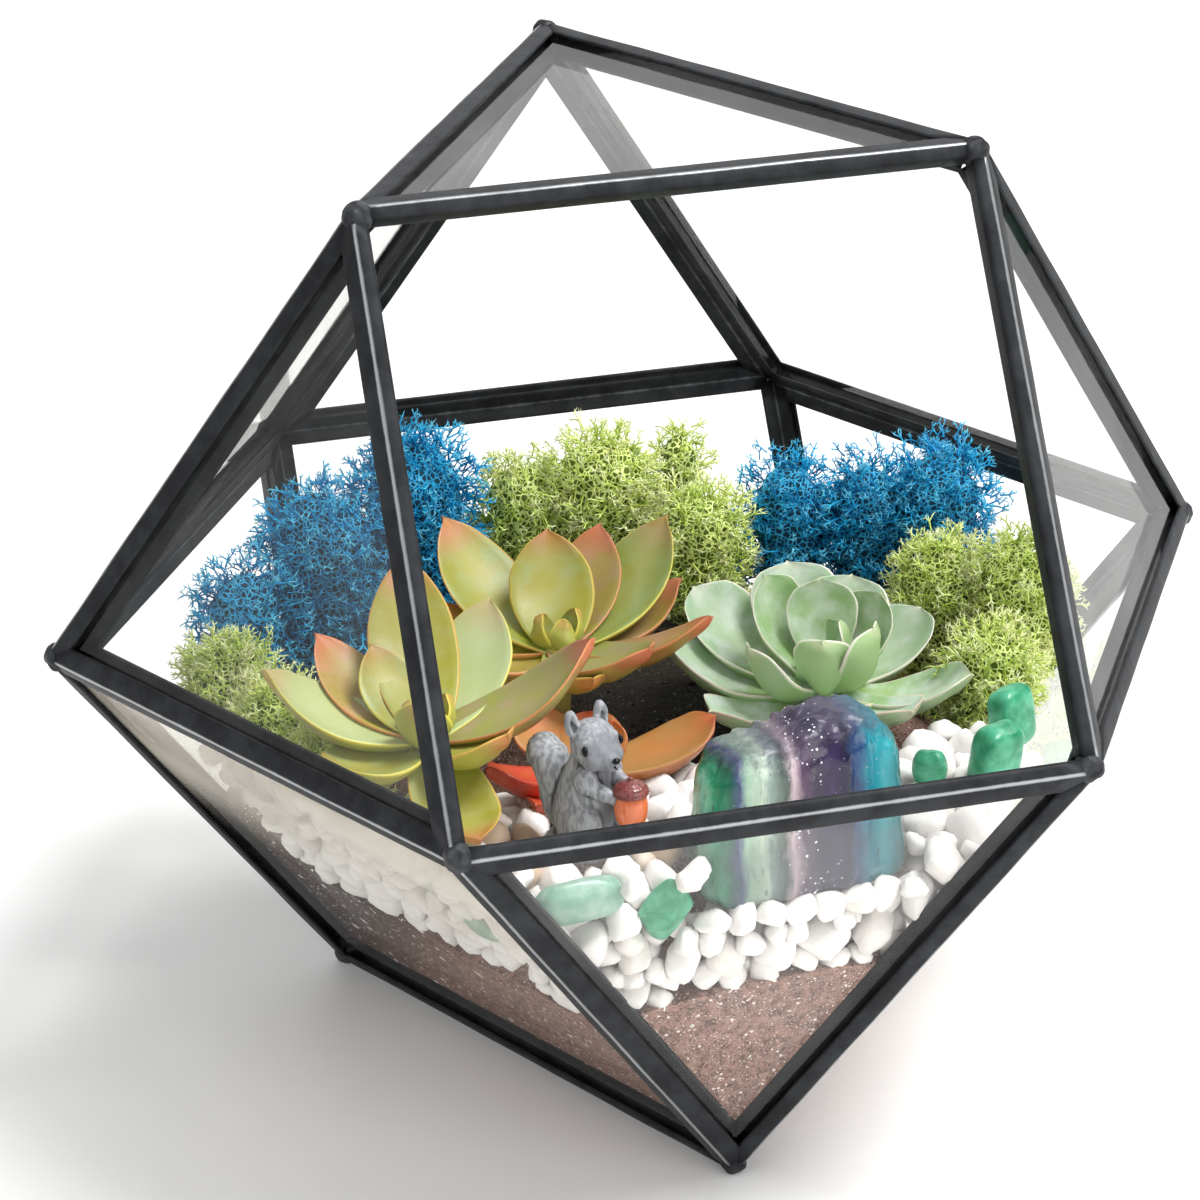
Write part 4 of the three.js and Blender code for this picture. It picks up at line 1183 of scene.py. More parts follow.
chips = {
    "sea_glass_front": {
        "at": (-15, -74, 62), "half": (3.8, 1.8, 6), "turn": (19, 4), "tone": "emerald", "grow": 1.18,
        "blocky": 0, "pointed": 0.7,
    },
    "sea_glass_front_left": {
        "at": (-29, -74.6, 66), "half": (6.4, 2, 3.6), "turn": (19, 6), "tone": "pale", "grow": 1.4,
        "blocky": 0.3,
    },
    "sea_glass_left": {
        "at": (-46, -39.7, 54), "half": (3.8, 1.7, 2.8), "turn": (35, -60), "tone": "pale", "grow": 1.1,
        "blocky": 0.2,
    },
    "sea_glass_left_low": {
        "at": (-38.8, -47.4, 48), "half": (4.4, 1.7, 2.8), "turn": (35, -60), "tone": "pale", "grow": 1.1,
        "blocky": 0.2,
    },
    "sea_glass_right_tall": {
        "at": (46, -55, 70), "half": (3.8, 2.6, 5.4), "turn": (12, 20), "tone": "emerald", "grow": 1.32,
        "blocky": 0.7,
    },
    "sea_glass_right_back": {
        "at": (53, -43, 70.5), "half": (3.6, 2.4, 4.6), "turn": (-8, 35), "tone": "emerald", "grow": 1.35,
        "blocky": 0.75,
    },
    "sea_glass_right_small": {
        "at": (35, -54, 69), "half": (2.7, 1.8, 3.4), "turn": (15, -20), "tone": "emerald", "grow": 1.25,
        "blocky": 0.4,
    },
}
stoneBlock = {"at": (9, -65.5, 59.5), "width": 36.5, "depth": 17, "height": 28, "turn": 6}
squirrelSpot = {"at": (-24, -60.5, 68), "turn": -50, "headTurn": -16}
bedWalls = ["front_low", "left_low", "right_low"]


def inBedOutline(x, y):
    inside = False
    outline = bed["back"]
    for (x1, y1), (x0, y0) in zip(outline, [outline[-1], *outline[:-1]]):
        if (y1 > y) != (y0 > y) and x < x0 + (y - y0) * (x1 - x0) / (y1 - y0):
            inside = not inside
    return inside


def facePoint(name, height, sideways, depth):
    level = unit(np.cross((0, 0, 1), inwards[name]))
    uphill = np.cross(inwards[name], level)
    climb = (height - middles[name][2]) / uphill[2]
    return middles[name] + uphill * climb + level * sideways + inwards[name] * depth


def pebbleSites():
    pitch = 2.05 * bed["radius"]
    wallDepth = jar["channelEnd"] + 0.8 * bed["radius"]
    candidates = []
    for name in bedWalls:
        height = ground["trough"] + 2.5
        while height < ground["crown"] + 6:
            t = -jar["edgeLength"] / 2 + (int(height + 0.5) % 2) * pitch / 2
            while t <= jar["edgeLength"] / 2:
                candidates.append(facePoint(name, height, t, wallDepth))
                t += pitch
            height += 0.74 * pitch
    y = -84.0
    while y < -30:
        x = -62.0
        while x < 62:
            candidates.append(np.array([x, y, bedTop(x, y) - 0.9 * ground["bedThickness"]]))
            x += pitch
        y += 0.92 * pitch
    sites = []
    for point in candidates:
        x, y, z = point
        inBed = inBedOutline(x, y - 1) and z < bedTop(x, y) and z > soilHeight(x, y) + 2
        if not inBed or (sites and np.linalg.norm(np.array(sites) - point, axis=1).min() <= 0.86 * pitch):
            continue
        offGlass = all((point - middles[n]) @ inwards[n] > wallDepth - 0.3 for n in middles)
        clear = abs(x - stoneBlock["at"][0]) > 0.42 * stoneBlock["width"]
        clear = clear or abs(y - stoneBlock["at"][1]) > 0.42 * stoneBlock["depth"]
        if offGlass and (z < stoneBlock["at"][2] or clear):
            sites.append(point)
    return np.array(sites)


def nearSquirrel(x, y):
    return math.hypot(x - squirrelSpot["at"][0], y - squirrelSpot["at"][1])


def chipFrames():
    frames = []
    for chip in chips.values():
        swing, tip = (Matrix.Rotation(math.radians(-a), 3, axis) for a, axis in zip(chip["turn"][::-1], "ZX"))
        frames.append((np.array(chip["at"]), np.array(tip @ swing), np.array(chip["half"]) * chip["grow"]))
    return frames


def takenPlace(point, radius, frames):  # where the figure, the banded stone or a glass chip stands
    local = turned(point - np.array(stoneBlock["at"]), "Z", -stoneBlock["turn"])
    wide, deep = stoneBlock["width"] / 2, stoneBlock["depth"] / 2
    before = local[1] < -deep + 1
    onStone = abs(local[0]) < wide + 0.5 * radius and abs(local[1]) < deep + (5 if before else 0.5 * radius)
    onStone = onStone and local[2] > (0.1 if before else -0.8) * radius
    onFoot = nearSquirrel(point[0], point[1]) < 6 + radius and point[2] > 64
    onChip = any(np.linalg.norm(m @ (point - at) / (half + 0.75 * radius)) < 1 for at, m, half in frames)
    return onStone or onFoot or onChip


def pebbleSet():
    frames = chipFrames()
    draw = seededRandom(97)
    points, sizes = [], []
    for site in pebbleSites():
        size = bed["radius"] * (1.1 + 0.2 * draw()) * bed["fill"]
        draw(), draw()  # keeps in step with the solid bed
        point = keepInside(site + [draw() - 0.5, draw() - 0.5, draw() - 0.5], jar["glassInside"] + 0.9 * size)
        point = clearOfBars(point, bed["offBars"] + 0.75 * size)
        if not takenPlace(point, size, frames):
            points.append(point)
            sizes.append(size)
    for share in np.linspace(-0.46, 0.46, 8):  # a row that beds the banded stone
        foot = (share * stoneBlock["width"], 1.4 - stoneBlock["depth"] / 2, -1.9)
        points.append(keepInside(placed(foot, stoneBlock), jar["glassInside"] + 2.5))
        sizes.append(2.7)
    main = len(points)
    random = np.random.default_rng(12)
    for k in range(bed["tries"]):
        if len(points) - main >= bed["fillers"]:
            break
        late = k / bed["easing"]
        share = random.uniform(max(0, 0.6 - late), 1 - 0.6 * min(1, late))
        radius = bed["smallest"] + (bed["largest"] - bed["smallest"]) * share
        x, y, z = random.uniform(bed["low"], bed["high"])
        onWall = random.uniform() < bed["onWalls"]
        wall = bedWalls[int(random.uniform(0, len(bedWalls)))]
        layer = random.choice([0.92, 2.4])
        up = random.uniform(bed["low"][2], bed["high"][2])
        sideways = random.uniform(-jar["edgeLength"] / 2, jar["edgeLength"] / 2)
        if onWall:
            x, y, z = facePoint(wall, up, sideways, jar["glassInside"] + layer * radius)
            top = max(bedTop(x, y), bed["wallTop"] if wall == "left_low" else 0)
        else:
            top = bedTop(x, y)
            z = top - random.uniform(0.5, 1.4) * radius
        place = np.array([x, y, z])
        if not inBedOutline(x, y) or z > top - 0.4 * radius or z < soilHeight(x, y) + 0.4 * radius:
            continue
        if wallGap(place) < jar["glassInside"] + 0.9 * radius:
            continue
        if np.linalg.norm(clearOfBars(place, bed["offBars"] + 0.75 * radius) - place) > 0.01:
            continue
        if (place - middles["mouth"]) @ inwards["mouth"] < 5 or takenPlace(place, radius, frames):
            continue
        gaps = np.linalg.norm(np.array(points) - place, axis=1) - 0.75 * (np.array(sizes) + radius)
        if gaps.min() > 0:
            points.append(place)
            sizes.append(radius)
    return np.array(points), np.array(sizes), main


def pebbleShape(cuts, seed):  # a broken stone: a block with rounded edges, tapered and cut by a few flats
    points, faces = block(cuts)
    draw = np.random.default_rng(seed)
    power = draw.uniform(3.2, 4.6)
    points = points / ((np.abs(points) ** power).sum(1) ** (1 / power))[:, None]
    flats = np.ones(len(points))
    for side in unit(draw.normal(size=(6, 3))):
        flats = np.minimum(flats, draw.uniform(0.74, 0.95) / np.maximum(points @ side, 0.01))
    points *= ((0.1 + 0.9 * flats) * (0.92 + 0.05 * lumps(points, 0.9, seed)))[:, None]
    taper = draw.uniform(-0.15, 0.15, 3)
    points *= 1 + points[:, [1, 2, 0]] * taper
    stretch = draw.permutation([1.2, 1.0, 0.82])
    return Shape().add(points * stretch, faces).mesh(f"pebble_{cuts}_{seed}")


def pebbleFinish():
    stone = Finish("white_stone")
    tint, brown = stone.value("tint"), stone.value("brown")
    chalk = stone.grain(2.4, 2, 0.6)
    fine = stone.grain(0.5, 2, 0.65)
    white = stone.mix(*bed["white"], (tint * 0.7 + chalk * 0.6).between(0.6, 1.15))
    cream = stone.ramp(tint, bed["warm"])
    base = stone.mix(white, cream, brown)
    veined = stone.mix(base, bed["vein"], fine.between(0.62, 0.8) * 0.3)
    relief = stone.relief(chalk * 0.6 + fine * 0.35, 0.3, 0.6)
    return stone.painted(veined, 0.55 + 0.25 * fine, relief)


def layPebbles():
    points, sizes, main = pebbleSet()
    draw = np.random.default_rng(7)
    count = len(points)
    near = np.array([nearSquirrel(x, y) for x, y, _ in points])
    behind = (points - middles["front_low"]) @ inwards["front_low"] > bed["brownDepth"]
    brown = (near < bed["brownReach"]) & (points[:, 2] > bed["brownFloor"]) & behind
    brown &= draw.uniform(size=count) < bed["brownShare"]
    shade = draw.uniform(size=count)
    finish = pebbleFinish()
    groups = {"pebbles_large": (0, main, 3, 8), "pebbles_small": (main, count, 2, 8)}
    for seed, (name, (low, high, cuts, variants)) in enumerate(groups.items()):
        sites = {
            "points": points[low:high],
            "facing": unit(draw.normal(size=(high - low, 3))),
            "size": sizes[low:high] * (1 + 0.12 * brown[low:high]),
            "kind": draw.integers(0, variants, high - low),
            "tint": shade[low:high],
            "brown": brown[low:high].astype(float),
        }
        shapes = [pebbleShape(cuts, seed * 50 + i) for i in range(variants)]
        mesh = scatter(name, sites, shapes, finish, seed=seed)
        moveTo(mesh, clearOfBars(keepInside(coordinates(mesh), jar["glassInside"]), bed["offBars"]))
        addPiece(name, mesh, finish, "white_stone", ["white_pebbles"])


layPebbles()
print("pebbles done")


# Soil: the solid stays, with crumbs and pale grit on the sides that show
soil = {
    "crumbs": 2000, "shapes": 5, "spread": 0.3, "size": 0.4, "grit": 0.2, "dark": "#4a332b",
    # topInShade: darker soil with painted shade on the top inside the jar; leftShade: painted shade on the
    # left side
    "brown": "#b58e81", "grain": "#d3b5a8", "leftShade": "#241811", "topInShade": ("#110b07", "#2c2016"),
    "pale": "#fbf1ea",
}


def soilFinish():
    earth = Finish("soil")
    tint, loose = earth.value("tint"), earth.value("loose")
    clods = earth.grain(1.6, 3, 0.7)
    fine = earth.grain(0.3, 2, 0.75)
    cells = earth.cells(0.5)
    large = earth.cells(1.6).between(0.21, 0.15) * earth.grain(4, 2).between(0.45, 0.52)
    small = earth.cells(0.7).between(0.24, 0.14) * earth.grain(2.5, 2).between(0.42, 0.5)
    grit = large + small * (1 - large)
    brown = earth.mix(soil["dark"], soil["brown"], (clods * 0.55 + fine * 0.6).between(0.4, 0.7))
    grains = earth.mix(brown, soil["grain"], cells.between(0.42, 0.12) * 0.45)
    # painted shade: the soil is darker towards the left side
    leftShade = earth.along("X").between(-34, -52)
    grains = earth.mix(grains, soil["leftShade"], leftShade * 0.85)
    # painted shade: above the sides against the glass, the soil's top goes near black, partly dark soil bits
    # and partly shade
    shown = earth.along("Z").between(62, 52)
    shadedTopSoil = earth.mix(*soil["topInShade"], (clods + fine * 0.5).between(0.5, 1.0))
    topInShade = earth.mix(shadedTopSoil, grains, shown)
    flecked = earth.mix(topInShade, soil["pale"], grit * (1 - loose) * (0.04 + 0.96 * shown))
    pale = (tint - (1 - soil["grit"])).between(0, 0.02) * loose * (0.06 + 0.94 * shown)
    crumbs = earth.mix(flecked, soil["pale"], pale)
    relief = earth.relief(clods * 0.8 + cells * 0.4, 0.6, 1.0)
    return earth.painted(crumbs, 0.9 - 0.5 * grit, relief)


def crumbShape(seed):
    points, faces = ball(1)
    swell = 1 + 0.35 * lumps(points, 0.8, seed)
    return Shape().add(points * swell[:, None] * (1.15, 0.95, 0.75), faces).mesh(f"crumb_{seed}")


def strewCrumbs():
    draw = np.random.default_rng(81)

    def showing(middle, normal):
        up = (normal[:, 2] > 0.2) * 0.7
        wall = (normal[:, 2] < 0.2) * (normal[:, 2] > -0.9) * (middle[:, 2] > 4) * 1.0
        return np.maximum(up, wall)

    points, normals = spotsOn(frame["nodes"]["soil"].data, soil["crumbs"], draw, showing)
    sites = {
        "points": points + normals * 0.1,
        "facing": unit(normals + 0.5 * draw.normal(size=points.shape)),
        "size": draw.uniform(0.6, 1.7, len(points)) ** 1.3,
        "kind": draw.integers(0, soil["shapes"], len(points)),
        "tint": draw.uniform(size=len(points)),
        "loose": np.ones(len(points)),
    }
    finish = soilFinish()
    recolour(frame["nodes"]["soil"], finish)
    shapes = [crumbShape(seed) for seed in range(soil["shapes"])]
    mesh = scatter("soil_crumbs", sites, shapes, finish, soil["size"], soil["spread"], 2)
    moveTo(mesh, keepInside(coordinates(mesh), jar["glassInside"]))
    addPiece("soil_crumbs", mesh, finish, "soil")


strewCrumbs()
print("soil done")


# The banded stone
fluorite = {
    "levels": [
        (0, 0, 0.95), (0.1, 0.1, 1.03), (0.3, 0.35, 1), (0.52, 0.64, 0.97), (0.67, 0.84, 0.93),
        (0.76, 0.93, 0.84), (0.84, 0.975, 0.68), (0.9, 0.99, 0.48), (0.95, 1, 0.25), (1, 1, 0.02),
    ],
    "sides": 132, "rings": 60, "chips": 0.55,
    # foot: the colour of the painted shade on the stone's lower part
    "ridges": [0, 0.05, 0.16, 0.28, 0.38, 0.45, 0.66, 0.74, 0.92, 1], "ridgeDepth": 0.9, "foot": "#27323b",
    "cloud": "#d5ded9", "crack": "#0d1020", "crown": "#3a3648", "spark": "#f6f8ff",
    "skyline": [
        (0, -3.6), (0.1, -2.2), (0.25, -1.4), (0.42, -1.0), (0.54, 1.0), (0.7, 1.4), (0.86, -0.2), (1, -3.6),
    ],
    "bands": [
        (0.0, "#1d5a48"), (0.035, "#8fd0b4"), (0.06, "#2b9c70"), (0.12, "#14614a"), (0.155, "#454f7e"),
        (0.2, "#9cbfa6"), (0.27, "#d3e6d2"), (0.3, "#8fa49c"), (0.36, "#59655f"), (0.4, "#d5bec6"),
        (0.45, "#5b4460"), (0.52, "#2c1f3c"), (0.6, "#3a2b54"), (0.66, "#1f1c38"), (0.71, "#23497a"),
        (0.76, "#117f92"), (0.85, "#2aa0aa"), (0.91, "#1a6f76"), (0.95, "#31605a"), (1.0, "#1f4a46"),
    ],
}


def bandedStone():
    rows = smoothCurve(fluorite["levels"], np.linspace(0, 1, fluorite["rings"]))
    angles = around(fluorite["sides"])
    sideways, outwards = np.cos(angles), np.sin(angles)
    boxy = 1 / np.maximum(np.abs(sideways), np.abs(outwards)) ** 0.55
    wide, deep = stoneBlock["width"] / 2 - 0.7, stoneBlock["depth"] / 2 - 0.5
    rings = []
    for rise, share in rows:
        x, y = sideways * share * boxy * wide, outwards * share * boxy * deep
        rings.append(columns(x, y, rise * stoneBlock["height"]))
    points, faces = loft(rings)
    across = np.clip(points[:, 0] / stoneBlock["width"] + 0.5, 0, 1)
    rise = points[:, 2] / stoneBlock["height"]
    points[:, 2] += smoothStep(rise, 0.45, 1) * smoothCurve(fluorite["skyline"], across)[:, 0]
    ridges = np.array(fluorite["ridges"])
    left = np.clip(np.searchsorted(ridges, across) - 1, 0, len(ridges) - 2)
    width = ridges[left + 1] - ridges[left]
    between = (across - ridges[left]) / width
    sunk = fluorite["ridgeDepth"] * np.sin(math.pi * between) * np.minimum(1, width * 7)
    points[:, 1] -= np.sign(points[:, 1]) * sunk * smoothStep(np.abs(points[:, 1]), 1, 5)
    away = unit(points * (1, 2, 0.6) - (0, 0, 8))
    rough = []
    for point in points:
        near, far = noise.voronoi(Vector(point * (0.34, 0.34, 0.2)))[0][:2]
        rough.append(far - near)
    top = smoothStep(rise, 0.78, 0.95)
    rough = (np.array(rough) - 0.35) * (0.5 + 1.3 * top) + lumps(points, 2.2, 3, 3) * (0.2 + 0.5 * top)
    points = aboveFloor(points + away * (rough * fluorite["chips"])[:, None])
    return Shape().add(placed(points, stoneBlock), faces, across=across, rise=rise)


def fluoriteFinish():
    stone = Finish("fluorite")
    across, rise = stone.value("across"), stone.value("rise")
    drift = stone.grain(9, 3, 0.5)
    cloud = stone.grain(2.4, 4, 0.62, stone.place((1, 1, 0.4)))
    ragged = stone.grain(1.0, 3, 0.6, stone.place((1, 1, 0.3)))
    spot = across + (drift - 0.5) * 0.08 + (cloud - 0.5) * 0.07 + (ragged - 0.5) * 0.03
    bands = stone.ramp(spot, fluorite["bands"])
    clouded = stone.mix(bands, fluorite["cloud"], cloud.between(0.6, 0.85) * 0.4)
    deep = stone.mix(clouded, fluorite["crack"], ragged.between(0.45, 0.25) * 0.6)
    crown = stone.mix(deep, fluorite["crown"], (rise + (ragged - 0.5) * 0.25).between(0.86, 1.0) * 0.75)
    # painted shade: the lower part darker and greyer towards the foot
    paintedLight = stone.mix(crown, fluorite["foot"], (rise + (cloud - 0.5) * 0.2).between(0.5, 0.28) * 0.45)
    fine = stone.grain(0.5, 3, 0.6)
    middle = spot.between(0.34, 0.44) * spot.between(0.66, 0.5)

    def glints(size, amount):
        luck = stone.cells(size, out="Color")
        return (luck * 1.3 + amount + fine * 0.4 - stone.cells(size)).between(0, 0.08)

    # painted glints: white sparkle spots in the base colour, most in the middle bands
    sparks = glints(1.1, 0.14 * middle - 1.2) + glints(0.55, 0.2 * middle - 1.12)
    sparkled = stone.mix(paintedLight, fluorite["spark"], (sparks * (0.35 + 0.6 * middle)).between(0, 1))
    relief = stone.relief(cloud * 0.8 + fine * 0.25, 0.4, 0.6)
    rough = 0.12 + 0.25 * rise.between(0.8, 0.98) + 0.15 * fine
    return stone.painted(sparkled, rough, relief, {"Coat Weight": 0.15, "Coat Roughness": 0.08})


bandedMesh = bandedStone().mesh("banded_fluorite")
addPiece("banded_fluorite", bandedMesh, fluoriteFinish(), "fluorite", ["fluorite_stone"])
print("fluorite done")


# Tumbled glass chips: rounded twelve-sided stones, some of them drawn towards a box or to points
def tumbledChip(chip, seed):
    points, faces = ball(4)
    golden = (1 + math.sqrt(5)) / 2
    base = [(0, 1, golden), (1, golden, 0), (golden, 0, 1)]
    signs = [(i, j, k) for i in (1, -1) for j in (1, -1) for k in (1, -1)]
    sides = unit([np.multiply(corner, sign) for corner in base for sign in signs])
    lean = np.maximum(points @ sides.T, 0)
    reach = 1 / (lean**10).sum(1) ** (1 / 10)
    boxed = 1 / (np.abs(points) ** 5).sum(1) ** (1 / 5)
    reach = reach / reach.mean() * (1 - chip["blocky"]) + chip["blocky"] * boxed
    pointed = chip.get("pointed", 0)
    reach = reach * (1 - pointed) + pointed * 1.25 / (np.abs(points) ** 1.3).sum(1) ** (1 / 1.3)
    reach = 0.86 * reach * (1 + 0.05 * lumps(points, 0.8, seed))
    shaped = points * reach[:, None] * np.array(chip["half"]) * chip["grow"]
    tip, swing = chip["turn"]
    shaped = turned(turned(shaped, "X", tip), "Z", swing) + np.array(chip["at"])
    return Shape().add(keepInside(shaped, jar["glassInside"]), faces)


def chipFinish(name, deep, light, clear):
    glass = Finish(name)
    cloud = glass.grain(3.5, 3, 0.5)
    frost = glass.grain(0.35, 2, 0.6)
    colour = glass.mix(deep, light, cloud.between(0.3, 0.75))
    pitted = glass.mix(colour, "#dff2e8", frost.between(0.62, 0.78) * 0.35)
    relief = glass.relief(frost, 0.06, 0.5)
    others = {"Transmission Weight": clear, "IOR": 1.45, "Coat Weight": 0.3, "Coat Roughness": 0.25}
    return glass.painted(pitted, 0.24 + 0.25 * frost, relief, others)


chipFinishes = {
    "emerald": chipFinish("emerald_sea_glass", "#159a68", "#66d6ac", 0.3),
    "pale": chipFinish("pale_sea_glass", "#7dbba0", "#bfe0d0", 0.3),
}
for seed, (name, chip) in enumerate(chips.items()):
    mesh = tumbledChip(chip, seed + 5).mesh("tumbled_" + name)
    addPiece("tumbled_" + name, mesh, chipFinishes[chip["tone"]], "sea_glass", [name])
print("sea glass done")


# The cast squirrel, modelled facing +X on its round foot
squirrel = {
    "voxel": 0.3, "fur": 0.07, "creaseDepth": 0.22, "creaseRounds": 16, "coat": ("#85888d", "#acaeb2"),
    # crease: the dark of the figure's wash and of painted shade in its hollows
    "chest": "#717378", "crease": "#24262b", "ink": ("#050506", "#15161a"),
    "foot": [(6.9, 0), (7, 0.3), (6.9, 0.9), (6.3, 1.5), (4, 1.7)],
    "body": [
        (-0.6, 1, 4, 4.2, 0), (-0.8, 4, 4.3, 5.1, 0), (-0.6, 7.5, 4.2, 4.9, 0), (0, 11, 3.9, 4.4, 0),
        (0.6, 14.5, 3.1, 3.5, 0), (1, 16.8, 2.6, 2.8, 0),
    ],
    "skull": [
        (-1.3, 18.6, 1.4, 1.6, 96), (0, 18.8, 3, 3.2, 94), (2.4, 18.8, 3.9, 3.9, 92),
        (4.5, 18.3, 3.5, 3.3, 94), (6, 17.5, 2.2, 2.2, 98), (7.4, 16.9, 1.3, 1.2, 100),
    ],
    "tail": [
        (-3, 2.2, 1.8, 1.8, 60), (-5.4, 4, 2.3, 2.1, 30), (-6.3, 6.8, 2.6, 2.2, 4), (-6.3, 9.6, 2.9, 2.6, 0),
        (-6.8, 12.4, 3.2, 3.3, 0), (-7.6, 14.6, 2.9, 3, 14), (-8.4, 16, 1.5, 1.6, 24),
    ],
}


def egg(at, size, tilt=0, swing=0, levels=4):
    points, faces = ball(levels)
    points = turned(turned(points * np.array(size), "Y", -tilt), "Z", swing)
    return points + np.array(at, float), faces


def spineLoft(stops, sides=28, steps=30):
    angles, rings = around(sides), []
    for x, z, wide, thick, lean in evenCurve(stops, steps):
        out = thick * np.cos(angles)
        tilt = math.radians(lean)
        rings.append(columns(x + out * math.cos(tilt), wide * np.sin(angles), z + out * math.sin(tilt)))
    return loft(rings)


def squirrelForms():
    shape = Shape()
    head = [spineLoft(squirrel["skull"])]
    for side in (-1, 1):
        head.append(egg((0.5, side * 2.9, 22.2), (0.9, 1.3, 2.4), 12))
        head.append(egg((4.4, side * 2.0, 17.2), (1.9, 1.7, 1.8)))
        head.append(egg((3.6, side * 2.75, 19.9), (1.3, 0.75, 0.8), 10))
    head.append(egg((7.2, 0, 17.6), (0.8, 0.75, 0.6)))
    for points, faces in head:
        shape.add(turned(points, "Z", squirrelSpot["headTurn"]), faces)
    angles = around(48)
    foot = [columns(radius * np.cos(angles), radius * np.sin(angles), z) for radius, z in squirrel["foot"]]
    shape.add(*loft(foot))
    shape.add(*spineLoft(squirrel["body"]))
    shape.add(*spineLoft(squirrel["tail"]))
    shape.add(*egg((-8.2, 0, 14.2), (2.6, 3.1, 3.1)))
    for side in (-1, 1):
        shape.add(*egg((0.9, side * 2.9, 5), (4, 2.2, 4.2), 14))
        shape.add(*egg((4, side * 2.4, 2.1), (3.5, 1.5, 1.3)))
        shape.add(*egg((2.4, side * 3.2, 13.1), (2.1, 1.6, 2.3), 30))
        shape.add(*egg((4.4, side * 2.6, 11.6), (3.3, 1.25, 1.35), -14, -side * 8))
        for finger in (-0.7, 0, 0.7):
            shape.add(*egg((7.0, side * 2.1, 10.9 + finger), (1.0, 0.45, 0.42), -8, -side * 20, 2))
            shape.add(*egg((7.0, side * (2.4 + finger), 1.6), (0.9, 0.42, 0.5), 0, 0, 2))
    return shape


def hollows(mesh, points):  # where the surface sinks, from 0 to 1
    ends = np.array([edge.vertices[:] for edge in mesh.edges])
    normals = vertexNormals(mesh)
    count = np.maximum(np.bincount(ends.ravel(), minlength=len(points)), 1)[:, None]
    soft = points
    for _ in range(squirrel["creaseRounds"]):
        total = np.zeros_like(points)
        for a, b in ((0, 1), (1, 0)):
            np.add.at(total, ends[:, a], soft[ends[:, b]])
        soft = total / count
    return np.clip(((soft - points) * normals).sum(1) / squirrel["creaseDepth"], 0, 1)


def furStrokes(points):
    strokes = []
    for x, y, z in points:
        place = Vector((x * 1.9, y * 1.9, z * 0.5 + 0.35 * x))
        strokes.append(noise.noise(place) + 0.5 * noise.noise(place * 2.1 + Vector((5, 2, 1))))
    return np.array(strokes)


def castSquirrel():
    mesh = blended(squirrelForms().mesh("forms"), squirrel["voxel"], 4)
    points = coordinates(mesh)
    normals = vertexNormals(mesh)
    turnedHead = turned(points, "Z", -squirrelSpot["headTurn"])
    x, y, z = turnedHead.T
    face = smoothStep(x, 2.4, 5) * smoothStep(z, 15.5, 17)
    bare = np.maximum(face, smoothStep(1.9 - points[:, 2], 0, 0.4))
    for side in (-1, 1):  # cupped ears
        away = np.linalg.norm((turnedHead - (1.3, side * 3.0, 22.2)) / (0.9, 0.8, 1.7), axis=1)
        points += turned(np.outer(-0.9 * np.clip(1 - away, 0, 1), (1, 0, 0)), "Z", squirrelSpot["headTurn"])
    strokes = furStrokes(points)
    tail = smoothStep(-points[:, 0], 4.6, 6)
    amount = squirrel["fur"] * (1 + 0.9 * tail) * (1 - 0.85 * bare)
    hollow = hollows(mesh, points)
    points = aboveFloor(points + normals * (strokes * amount)[:, None])
    chest = smoothStep(points[:, 0], 2.2, 4.4) * smoothStep(2.6 - np.abs(points[:, 1]), 0, 1.2)
    chest *= smoothStep(points[:, 2], 3, 5) * (1 - smoothStep(points[:, 2], 14, 15.5))
    muzzle = smoothStep(x, 3.8, 5.2) * (z > 15)
    values = {
        # where painted shade goes: the chest, the muzzle and the top of the head
        "pale": np.clip(np.maximum(chest, muzzle) + 0.35 * (z > 21), 0, 1),
        "hollow": np.clip(hollow - 0.1 * strokes * (1 - bare), 0, 1),
        "raisedFur": np.clip(0.5 + strokes, 0, 1),
    }
    for label, data in values.items():
        store(mesh, label, data)
    moveTo(mesh, placed(points, squirrelSpot))
    mesh.shade_smooth()
    return mesh


def castFinish():
    cast = Finish("squirrel_grey")
    pale, hollow, fur = cast.value("pale"), cast.value("hollow"), cast.value("raisedFur")
    fine = cast.grain(0.35, 3, 0.6)
    patches = cast.grain(3.5, 3)
    coat = cast.mix(*squirrel["coat"], (fur * 0.8 + patches * 0.5).between(0.35, 0.95))
    # painted shade: the chest, muzzle and top of the head darker than the coat
    coatWithPaintedShade = cast.mix(coat, squirrel["chest"], pale * 0.75)
    # darker in the hollows: partly the figure's dark wash, partly painted shade in the creases
    creaseWashAndShade = cast.mix(coatWithPaintedShade, squirrel["crease"], hollow.between(0.14, 0.95) * 0.85)
    relief = cast.relief(fine, 0.06, 0.5)
    rough = 0.5 + 0.2 * fine
    return cast.painted(creaseWashAndShade, rough, relief, {"Coat Weight": 0.08})


def inkFinish():
    ink = Finish("eye_black")
    colour = ink.mix(*squirrel["ink"], ink.grain(0.5, 1))
    return ink.painted(colour, 0.12, None, {"Specular IOR Level": 0.2, "Coat Weight": 0.2})


def faceMarks():
    marks = [egg((4.35, side * 3.32, 19.1), (0.85, 0.46, 0.9), 0, side * 24, 3) for side in (-1, 1)]
    marks.append(egg((7.95, 0, 17.75), (0.55, 0.68, 0.5), 0, 0, 3))
    marks.append(egg((7.35, 0, 16.6), (0.85, 0.16, 0.2), -20, 0, 3))
    shape = Shape()
    for points, faces in marks:
        shape.add(placed(turned(points, "Z", squirrelSpot["headTurn"]), squirrelSpot), faces)
    return shape


addPiece("cast_squirrel", castSquirrel(), castFinish(), "squirrel_grey", ["squirrel"])
addPiece("squirrel_eyes_and_nose", faceMarks().mesh("squirrel_eyes_and_nose"), inkFinish(), "squirrel_grey")
print("squirrel done")


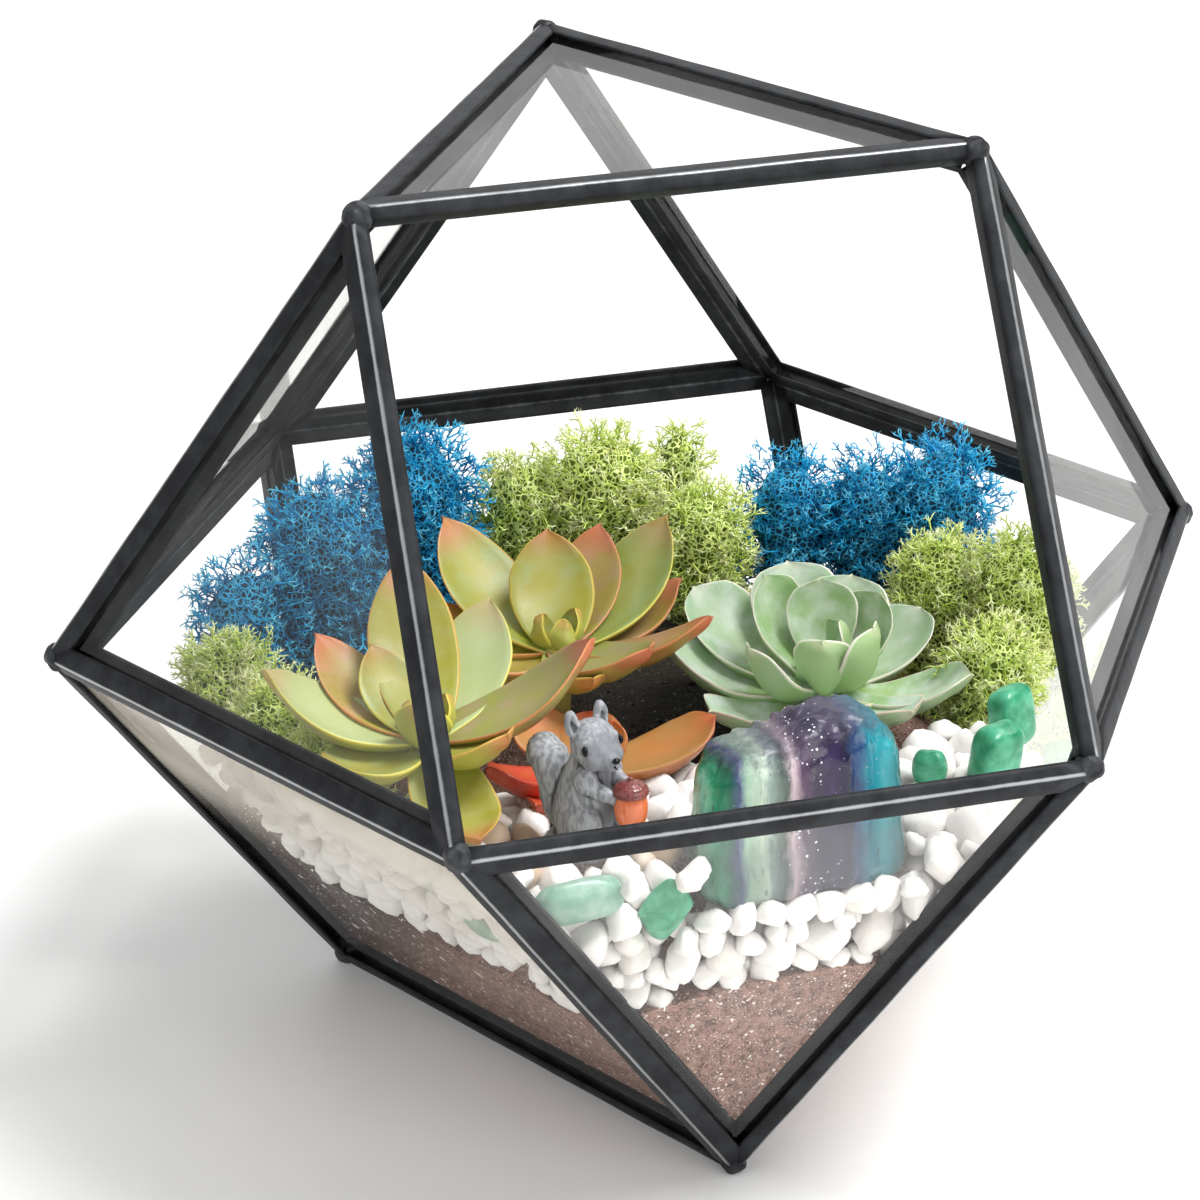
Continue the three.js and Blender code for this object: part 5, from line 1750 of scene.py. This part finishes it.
# The acorn between its paws, its scaly cap up
acorn = {
    "profile": [(0, 4.8), (0.5, 4.95), (1.5, 5.6), (2.35, 6.9), (2.7, 8.6), (2.65, 10.2), (2.3, 11.6)],
    "cap": [
        (2.2, 11.3), (2.75, 11.35), (2.85, 11.8), (2.6, 12.5), (1.9, 13.1), (1, 13.5), (0.45, 13.7),
        (0.38, 14.2),
    ],
    "sides": 56, "rows": 34, "scales": 0.14, "forward": 8.6, "shell": ("#ea7c4b", "#d5683a"),
    "shoulder": "#8c3a26", "scaleColours": ("#4e1f24", "#7d3b36"),
}


def acornShape():
    shape = Shape()
    angles = around(acorn["sides"])
    for part in ("profile", "cap"):
        isCap, rings = float(part == "cap"), []
        for radius, height in evenCurve(acorn[part], acorn["rows"]):
            crossed = np.sin(angles * 9 + height * 5) * np.sin(height * 5 - angles * 9)
            reach = np.maximum(radius, 0.02) + isCap * acorn["scales"] * crossed * min(1, radius / 1.5)
            rings.append(columns(reach * np.cos(angles) + acorn["forward"], reach * np.sin(angles), height))
        points, faces = loft(rings)
        shape.add(placed(points, squirrelSpot), faces, cap=isCap, rise=points[:, 2])
    return shape


def acornFinish():
    nut = Finish("acorn_brown")
    cap, rise = nut.value("cap"), nut.value("rise")
    streaks = nut.grain(0.8, 3, 0.6, nut.place((1, 1, 0.15)))
    shell = nut.mix(*acorn["shell"], streaks.between(0.3, 0.9))
    shaded = nut.mix(shell, acorn["shoulder"], rise.between(6.2, 5.0) * 0.6)
    scales = nut.mix(*acorn["scaleColours"], nut.cells(0.8).between(0.1, 0.5))
    colour = nut.mix(shaded, scales, cap)
    relief = nut.relief(streaks * 0.15 + nut.cells(0.7) * 0.4 * cap, 0.1, 0.4)
    rough = 0.18 + 0.25 * cap
    return nut.painted(colour, rough, relief, {"Coat Weight": 0.5})


addPiece("held_acorn", acornShape().mesh("held_acorn"), acornFinish(), "acorn_brown", ["acorn"])
print("acorn done")

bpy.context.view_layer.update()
added = [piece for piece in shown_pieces() if piece.name not in frame["nodes"]]
count = sum(len(face.vertices) - 2 for piece in added for face in piece.data.polygons)
print("pieces", len(added), "triangles added", count)
